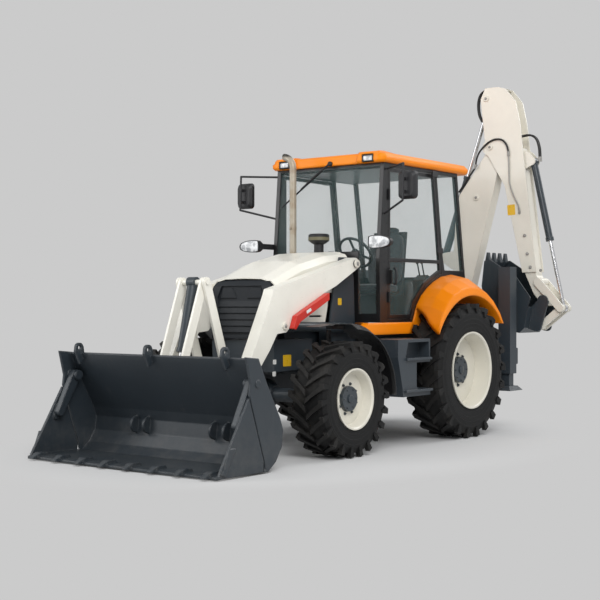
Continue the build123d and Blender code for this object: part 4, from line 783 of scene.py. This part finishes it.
# finishes of the CAD nodes that keep their shape
nodeFinish = {
    "creamPaint": "bonnet side_panels loader_arms tilt_links tilt_levers",
    # the hoe's parts take the darker cream, which is painted shade
    "hoeShadedPaint": "rocker tipping_link boom dipper dipper_slide kingpost",
    "orangePaint": "cab_roof rear_fenders",
    "bucketPaint": "bucket_shell bucket_jaw",
    "slatePaint": "hoe_bucket lift_barrels tilt_barrel boom_barrel crowd_barrel curl_barrel",
    "chassisPaint": "main_frame front_axle rear_axle step_tanks side_carriage left_stabiliser "
                    "right_stabiliser engine_block",
    "grillePaint": "nose_grille",
    "blackPaint": "cab_frame left_door right_door left_knuckle right_knuckle",
    "redPaint": "safety_strut",
    "stackSteel": "exhaust_stack",
    "moulding": "pre_cleaner cab_controls seat_frame mirrors lamps",
    "seatCloth": "seat_cushions",
    "rodChrome": "lift_rods tilt_rod boom_rod crowd_rod curl_rod",
    "frontTyre": "front_left_tyre front_right_tyre",
    "rearTyre": "rear_left_tyre rear_right_tyre",
    "frontRim": "front_left_rim front_right_rim",
    "rearRim": "rear_left_rim rear_right_rim",
    "cabGlass": "cab_glass left_door_glass right_door_glass",
}
for finish, names in nodeFinish.items():
    for name in names.split():
        nodes[name].data.materials.clear()
        nodes[name].data.materials.append(mats[finish])
print("nodes finished")

# wheel nuts round each drum; ring is their circle's radius, first the turn of the first one
wheelNuts = {
    "front": dict(ring=0.143, count=8, first=0.3, face=1.0445, radius=0.0105, height=0.017),
    "rear": dict(ring=0.167, count=10, first=0.3, face=0.9515, radius=0.0125, height=0.020),
}
# hub drums: a ring of cover bolts and a filler cap on the face
hubCovers = {
    "front": dict(ring=0.094, count=6, first=0.0, face=1.0785, radius=0.0075, height=0.010, cap=0.040),
    "rear": dict(ring=0.112, count=8, first=0.0, face=0.9975, radius=0.0085, height=0.011, cap=0.046),
}


def boltRing(hub, sign, w):
    # bolts at hub + ring * (cos t, sin t), t in even steps from first
    shapes = []
    for t in np.linspace(0, 2 * np.pi, w["count"], endpoint=False) + w["first"]:
        x, z = hub[0] + w["ring"] * math.cos(t), hub[1] + w["ring"] * math.sin(t)
        shapes += boltHead((x, sign * w["face"], z), (0, sign, 0), w["radius"], w["height"])
    return shapes


def addWheelPiece(end, side, name, shapes):
    makePiece(end + side.capitalize() + name, shapes, "slatePaint", end + "_" + side + "_wheel")


for end, hub in hubs.items():
    for side, sign in bothSides:
        addWheelPiece(end, side, "Nuts", boltRing(hub, sign, wheelNuts[end]))
    for side, sign in bothSides:
        cover = hubCovers[end]
        profile = [(0, cover["cap"]), (0.010, cover["cap"]), (0.014, cover["cap"] * 0.86)]
        cap = turned((hub[0], sign * cover["face"], hub[1]), (0, sign, 0), profile, 36)
        addWheelPiece(end, side, "HubCover", [cap] + boltRing(hub, sign, cover))
print("wheel nuts ready")

# head lamps: clear lens over a bright bowl, with a dark seal round it; egg is the lens in mm, as
# (outwards from its inner edge, up), the rest is in metres or shares of that outline
headLamp = {
    "near": 0.715, "height": 2.053, "front": 1.346, "bulge": 0.010,
    "egg": [(0, 44), (18, 60), (60, 66), (140, 64), (215, 50), (258, 30), (270, 6), (270, -10),
            (255, -34), (210, -52), (140, -64), (60, -66), (18, -60), (0, -44)],
    "middle": (0.128, 0.0), "rows": (0.90, 0.84, 0.70, 0.5, 0.28, 0.08), "back": 0.002,
    "sealWidth": (0.905, 0.99), "sealDepth": (0.0005, 0.006),
}
workLamp = {
    "near": 0.490, "far": 0.605, "low": 2.905, "high": 2.957, "face": 1.1145, "corner": 0.016,
    "rows": (1.0, 1.0, 0.8, 0.5, 0.2), "rise": (-0.004, 0.001, 0.004, 0.006, 0.007),
}


def smoothRing(points, steps=4):
    # closed smooth line through the points
    p = np.asarray(points, float)
    t = np.linspace(0, 1, steps, endpoint=False)[None, :, None]
    a, b, c, d = (np.roll(p, 1 - k, axis=0)[:, None, :] for k in range(4))
    return smoothBetween(a, b, c, d, t).reshape(-1, 2)


def lampRows(h, sign, rows, depth):
    # rows of (across, up) round the lamp's middle, each at its own depth, as points
    points = np.zeros(rows.shape[:2] + (3,))
    points[..., 0] = np.asarray(depth)[:, None]
    points[..., 1] = sign * (h["near"] + rows[..., 0])
    points[..., 2] = h["height"] + rows[..., 1]
    return points


def addHeadLamp(side, sign, h):
    # the lens rises as 1 - r^4, r being 1 on the outline and 0 at its middle
    rim = smoothRing(np.array(h["egg"]) / 1000)
    middle = np.array(h["middle"])
    share = np.array(h["rows"])
    rows = middle + share[:, None, None] * (rim - middle)
    points = lampRows(h, sign, rows, h["front"] + h["bulge"] * (1 - share ** 4))
    back = points[:1].copy()
    back[..., 0] = h["front"] - h["back"]
    lens = gridShape(np.concatenate([back, points]), closeColumns=True, capRows=True)
    makePiece(side + "HeadLens", [lens], "lampLens", "chassis", 60)
    inner, outer = h["sealWidth"]
    low, high = (h["front"] + depth for depth in h["sealDepth"])
    seal = np.stack([middle + k * (rim - middle) for k in (inner, outer, outer, inner)])
    ring = lampRows(h, sign, seal, [low, low, high, high])
    shape = gridShape(ring, closeRows=True, closeColumns=True)
    makePiece(side + "HeadSeal", [shape], "moulding", "chassis", 50)


def addWorkLamp(side, sign, w):
    # flat lens with rounded corners, slightly domed
    rim = roundedOutline(w["far"] - w["near"], w["high"] - w["low"], w["corner"])
    share, rise = np.array(w["rows"]), np.array(w["rise"])
    points = np.zeros((len(share), len(rim), 3))
    points[..., 0] = w["face"] + rise[:, None]
    points[..., 1] = sign * ((w["near"] + w["far"]) / 2 + share[:, None] * rim[:, 0])
    points[..., 2] = (w["low"] + w["high"]) / 2 + share[:, None] * rim[:, 1]
    lens = gridShape(points, closeColumns=True, capRows=True)
    makePiece(side + "WorkLens", [lens], "lampLens", "chassis", 60)


for side, sign in bothSides:
    addHeadLamp(side, sign, headLamp)
    addWorkLamp(side, sign, workLamp)
print("lamps ready")

# hoses and steel lines of the backhoe: radii, and the x of the planes that they lie in
line = {
    "front": -1.3385, "edge": -1.3638, "topPair": (-1.372, -1.402), "rearPair": (-1.386, -1.416),
    "plate": -1.353, "radius": 0.011, "pair": 0.012, "steel": 0.008, "steelEnd": 0.009,
}
# their routes, as (y, z)
pivotHose = dict(start=(0.412, 3.094), end=(0.847, 3.216), route=[
    (0.412, 3.094), (0.425, 3.16), (0.462, 3.235), (0.53, 3.305), (0.60, 3.350), (0.68, 3.372),
    (0.765, 3.356), (0.822, 3.295), (0.847, 3.216)])
frontLine = [(0.412, 3.094), (0.392, 3.062), (0.318, 2.965), (0.228, 2.852), (0.166, 2.777)]
dipperLine = [(0.847, 3.216), (0.853, 3.10), (0.858, 2.95), (0.867, 2.835), (0.915, 2.70),
              (0.975, 2.585), (0.985, 2.55)]
boomTopHose = [(0.700, 3.962), (0.579, 3.972), (0.504, 3.958), (0.448, 3.908), (0.424, 3.808),
               (0.437, 3.687), (0.478, 3.600)]
rearHoses = [(0.985, 3.386), (1.096, 3.392), (1.176, 3.345), (1.214, 3.245), (1.224, 3.130)]


def atX(x, route):
    # (y, z) points laid into the plane at x
    return [(x, y, z) for y, z in route]


def fitting(place, direction, radius):
    # crimped ferrule with a hexagon nut at its end
    ferrule = [(0, radius * 1.25), (0.006, radius * 1.4), (0.012, radius * 1.28),
               (0.018, radius * 1.4), (0.024, radius * 1.28), (0.030, radius * 1.4),
               (0.036, radius * 1.2)]
    nut = [(0, radius * 1.6), (0.016, radius * 1.6)]
    nutPlace = np.asarray(place, float) + 0.036 * axesFrom(direction)[0]
    return [turned(place, direction, ferrule, 20), turned(nutPlace, direction, nut, 6)]


def addSteel(name, shapes, body):
    makePiece(name, shapes, "bareSteel", body)


def addHoses(name, route, planes, radius, sides, body):
    # the same route in several planes
    hoses = [pipe(atX(x, route), radius, sides) for x in planes]
    makePiece(name, hoses, "hoseRubber", body, 60)


pivotPipe = pipe(atX(line["front"], pivotHose["route"]), line["radius"], 14)
hose = makePiece("pivotHose", [pivotPipe], "hoseRubber", None)
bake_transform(hose)
boomEnd = (line["front"],) + pivotHose["start"]
dipperEnd = (line["front"],) + pivotHose["end"]
addSteel("boomEndFitting", fitting(boomEnd, (0, -0.25, -1), line["radius"]), "boom")
addSteel("dipperEndFitting", fitting(dipperEnd, (0, 0.05, -1), line["radius"]), "dipper")
makePiece("dipperLine", [pipe(atX(line["front"], dipperLine), line["steel"], 12)], "bareSteel",
          "dipper", 60)
lineEnd = fitting((line["front"],) + dipperLine[-1], (0, 0.2, -1), line["steelEnd"])
lineBolt = boltHead((line["plate"], 0.985, 2.49), (1, 0, 0), 0.011, 0.02)
addSteel("dipperLineEnds", lineEnd + lineBolt, "dipper")

# line along the boom's upper edge from the cab up to the pivot hose
addHoses("boomLine", frontLine, (line["edge"],), line["radius"], 12, "boom")
addHoses("dipperTopHoses", boomTopHose, line["topPair"], line["pair"], 14, "dipper")
addHoses("rearHoses", rearHoses, line["rearPair"], line["pair"], 14, "dipper")
rearEnds = [shape for x in line["rearPair"]
            for shape in fitting((x, 1.224, 3.132), (0, -0.02, -1), line["pair"])]
addSteel("rearHoseFittings", rearEnds, "dipper")

# adjuster bolts of the slide on the dipper's side plate, as (y, z)
adjusters = {"places": [(1.053, 2.224), (1.086, 2.011), (1.125, 1.857)], "radius": 0.013, "height": 0.022}
adjusterBolts = [shape for place in atX(line["plate"], adjusters["places"])
                 for shape in boltHead(place, (1, 0, 0), adjusters["radius"], adjusters["height"])]
addSteel("slideAdjusters", adjusterBolts, "dipper")


def addPins(name, body, places, direction, radius):
    # on each pin a keeper plate with a rounded rim, and the bolt that holds it; the plates take the hoe's
    # darker cream, which is painted shade
    high = 0.0155
    rim = [(0, radius), (0.011, radius), (0.015, radius * 0.9), (high, radius * 0.6)]
    caps = [turned(place, direction, rim, 40) for place in places]
    tops = [np.asarray(place) + high * np.asarray(direction) for place in places]
    bolts = [shape for top in tops for shape in boltHead(top, direction, radius * 0.33, 0.011)]
    makePiece(name + "Caps", caps, "hoeShadedPaint", body)
    addSteel(name + "Bolts", bolts, body)


dipperPins = [(line["plate"], 0.547, 3.865), (line["plate"], 0.597, 3.285)]
addPins("dipperPin", "dipper", dipperPins, (1, 0, 0), 0.034)
addPins("boomPin", "boom", [(-1.375, 0.400, 2.700)], (1, 0, 0), 0.034)
for side, sign in bothSides:
    addPins(side + "LiftPin", "loader", [(2.490, sign * 0.556, 1.222)], (0, sign, 0), 0.036)
    addPins(side + "ArmPin", "chassis", [(1.345, sign * 0.572, 1.837)], (0, sign, 0), 0.043)
addSteel("slideBolt", boltHead((-1.374, 1.245, 1.818), (1, 0, 0), 0.012, 0.014), "dipper_slide")
print("hoses and pins ready")

# bare label plates where the machine carries its signs: middle, size, and the plate's across and up
leftFace = ((-1, 0, 0), (0, 0, 1))
plates = {
    "framePlate": ("yellowPlate", "chassis", (2.249, 0.3925, 0.886), (0.124, 0.11), leftFace),
    "frontPlateHigh": ("whitePlate", "chassis", (2.44, 0.3925, 0.879), (0.05, 0.045), leftFace),
    "frontPlateLow": ("whitePlate", "chassis", (2.447, 0.3925, 0.766), (0.05, 0.045), leftFace),
    "towerPlate": ("yellowPlate", "chassis", (1.435, 0.425, 1.454), (0.062, 0.070), leftFace),
    "strutPlate": ("whitePlate", "loader", (2.278, 0.680, 1.366), (0.075, 0.030),
                   ((-0.917, 0, 0.398), (0.398, 0, 0.917))),
    "dipperPlate": ("yellowPlate", "dipper", (-1.3525, 0.878, 2.531), (0.10, 0.122),
                    ((0, 1, 0.07), (0, -0.07, 1))),
}
plateForm = {"corner": 0.008, "thick": 0.0014, "whitePlate": "cream_paint", "yellowPlate": "orange_paint"}


def addLabelPlate(name, mat, body, middle, size, face):
    plate = slabBetween(roundedOutline(*size, plateForm["corner"]), middle, *face, plateForm["thick"])
    makePiece(name, [plate], mat, body)


for name, plate in plates.items():
    addLabelPlate(name, *plate)
print("plates ready")

# wiper: pivot below the roof, sprung arm, and a blade across the windscreen
wiper = {
    "root": (1.080, 0.052, 2.905), "tip": (1.110, -0.574, 2.474), "out": 0.016,
    "arm": 0.010, "armReach": 0.58, "armLift": (0.012, 0.020, 0.012),
    "blade": 0.009, "bladeFrom": 0.16,
    "holder": 0.006, "holderSpan": (0.26, 0.86), "holderLift": 0.009,
    "pivotBack": 0.02, "pivot": [(0, 0.026), (0.028, 0.026), (0.038, 0.014)],
}


def addWiper(w):
    root, tip = (np.array(w[key]) + (w["out"], 0, 0) for key in ("root", "tip"))
    way = tip - root

    def spot(share, lift):
        return root + share * way + (lift, 0, 0)

    armShares = (0.0, 0.30, w["armReach"])
    arm = pipe([spot(share, lift) for share, lift in zip(armShares, w["armLift"])], w["arm"], 10)
    blade = pipe([spot(w["bladeFrom"], 0), spot(w["armReach"], 0), tip], w["blade"], 10)
    holder = pipe([spot(share, w["holderLift"]) for share in w["holderSpan"]], w["holder"], 8)
    pivot = turned(root - (w["pivotBack"], 0, 0), (1, 0, 0), w["pivot"], 24)
    makePiece("wiper", [arm, blade, holder, pivot], "moulding", "chassis", 45)


addWiper(wiper)

# pre-cleaner: a paler ribbed band round its bowl
cleaner = {"middle": (1.325, 0.078), "low": 2.088, "high": 2.122, "radius": 0.1076,
           "lift": 0.0008, "rib": 0.0020, "ribs": 3, "inner": 0.001}
# clamp round the exhaust, with an ear and a bolt in front
stackClamp = {"place": (1.38, -0.22, 2.22), "radius": 0.0358, "width": 0.024, "thick": 0.003,
              "earReach": 0.03, "earCorner": 0.004, "earThick": 0.004,
              "earPlace": (0.008, 0.006, 0), "boltPlace": (0.012, 0.006, 0)}


def addCleanerBand(c):
    # the radius swells in even ribs: r + lift + rib * |sin(ribs pi t)|
    t = np.linspace(0, 1, 25)
    swell = c["radius"] + c["lift"] + c["rib"] * np.abs(np.sin(c["ribs"] * np.pi * t))
    tall = c["high"] - c["low"]
    outer = np.stack([t * tall, swell], 1)
    profile = np.vstack([(0, c["radius"]), outer, (tall, c["radius"])])
    inner = profile[::-1].copy()
    inner[:, 1] = c["radius"] - c["inner"]
    profile = np.vstack([profile, inner[[0, -1]]])
    rings = revolve((*c["middle"], c["low"]), (0, 0, 1), profile, 64)
    band = gridShape(rings, closeRows=True, closeColumns=True)
    makePiece("cleanerBand", [band], "oliveBand", "chassis")


def addStackClamp(c):
    half, near = c["width"] / 2, c["radius"]
    far = near + c["thick"]
    band = turned(c["place"], (0, 0, 1), [(-half, near), (-half, far), (half, far), (half, near)], 40)
    lug = np.array(c["place"]) + (near, 0, 0)
    outline = roundedOutline(c["earReach"], c["width"], c["earCorner"])
    ear = slabBetween(outline, lug + c["earPlace"], (1, 0, 0), (0, 0, 1), c["earThick"])
    bolt = boltHead(lug + c["boltPlace"], (0, 1, 0), 0.006, 0.008)
    makePiece("stackClamp", [band, ear] + bolt, "stackSteel", "chassis")


addCleanerBand(cleaner)
addStackClamp(stackClamp)

# mirror glass on the rear faces of both housings
mirrorGlass = {"face": 1.133, "out": 1.062, "height": 2.621, "size": (0.186, 0.256), "corner": 0.034,
               "thick": 0.002}


def addMirrorGlass(side, sign, m):
    outline = roundedOutline(*m["size"], m["corner"])
    middle = (m["face"], sign * m["out"], m["height"])
    glass = slabBetween(outline, middle, (0, -1, 0), (0, 0, 1), m["thick"])
    makePiece(side + "MirrorGlass", [glass], "mirrorFace", "chassis")


for side, sign in bothSides:
    addMirrorGlass(side, sign, mirrorGlass)
print("fittings ready")

# door grips, as x and two heights, and clamps at the rear edge of each door's panes, as (x, z)
doorFit = {"grip": (0.901, 1.635, 1.800), "radius": 0.012, "stand": 0.030, "bend": 0.02,
           "clamps": [(0.115, 2.832), (0.005, 2.010)], "size": (0.105, 0.062), "thick": 0.020,
           "corner": 0.012}


def addDoorFittings(side, sign, d):
    doorFace = max(abs(value[1]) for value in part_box(side + "_door"))
    x, low, high = d["grip"]
    face, out = sign * doorFace, sign * (doorFace + d["stand"])
    grip = pipe([(x, face, low), (x, out, low + d["bend"]), (x, out, high - d["bend"]), (x, face, high)],
                d["radius"], 12, 5)
    # a slab grows towards -Y here, so the left one starts at its outer face
    start = sign * (doorFace + d["thick"] * (sign > 0))
    outline = roundedOutline(*d["size"], d["corner"])
    clamps = [slabBetween(outline, (cx, start, cz), (1, 0, 0), (0, 0, 1), d["thick"])
              for cx, cz in d["clamps"]]
    makePiece(side + "DoorFittings", [grip] + clamps, "moulding", side + "_door",
              40, 0.003)


for side, sign in bothSides:
    addDoorFittings(side, sign, doorFit)

# box bolted to the outer face of the left stabiliser's housing
legBox = {"place": (-1.12, 1.045, 0.836), "size": (0.185, 0.085), "corner": 0.010, "thick": -0.06}
legBoxShape = slabBetween(roundedOutline(*legBox["size"], legBox["corner"]), legBox["place"],
                          (0, 0, 1), (0, 1, 0), legBox["thick"])
makePiece("leftLegBox", [legBoxShape], "chassisPaint", "chassis", 35, 0.003)

# seat cushions: superellipsoids, |x/a|^n + |y/b|^n + |z/c|^n = 1 with n = 2 / power, leant back
cushions = {
    "base": dict(middle=(0.215, 0.0, 1.603), half=(0.205, 0.232, 0.050), lean=0.0, power=0.42),
    "back": dict(middle=(-0.036, 0.0, 1.93), half=(0.046, 0.222, 0.292), lean=0.155, power=0.42),
    "head": dict(middle=(-0.083, 0.0, 2.245), half=(0.040, 0.135, 0.046), lean=0.155, power=0.5),
}


def cushionShape(c):
    u = np.linspace(-np.pi / 2, np.pi / 2, 28)[:, None]
    v = np.linspace(0, 2 * np.pi, 56, endpoint=False)[None, :]

    def curve(value):
        return np.sign(value) * np.abs(value) ** c["power"]

    a, b, h = c["half"]
    x = a * curve(np.cos(u)) * curve(np.cos(v))
    y = b * curve(np.cos(u)) * curve(np.sin(v))
    z = h * curve(np.sin(u)) * np.ones_like(v)
    cos, sin = math.cos(c["lean"]), math.sin(c["lean"])
    points = np.stack([x * cos - z * sin, y, z * cos + x * sin], -1)
    points = points[1:-1] + np.array(c["middle"])
    return gridShape(points, closeColumns=True, capRows=True)


pads = [cushionShape(c) for c in cushions.values()]
seat = makePiece("seatPads", pads, "seatCloth", "chassis", 180, 0, 1)
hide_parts("seat_cushions")
print("cushions ready")

print("pieces finished")
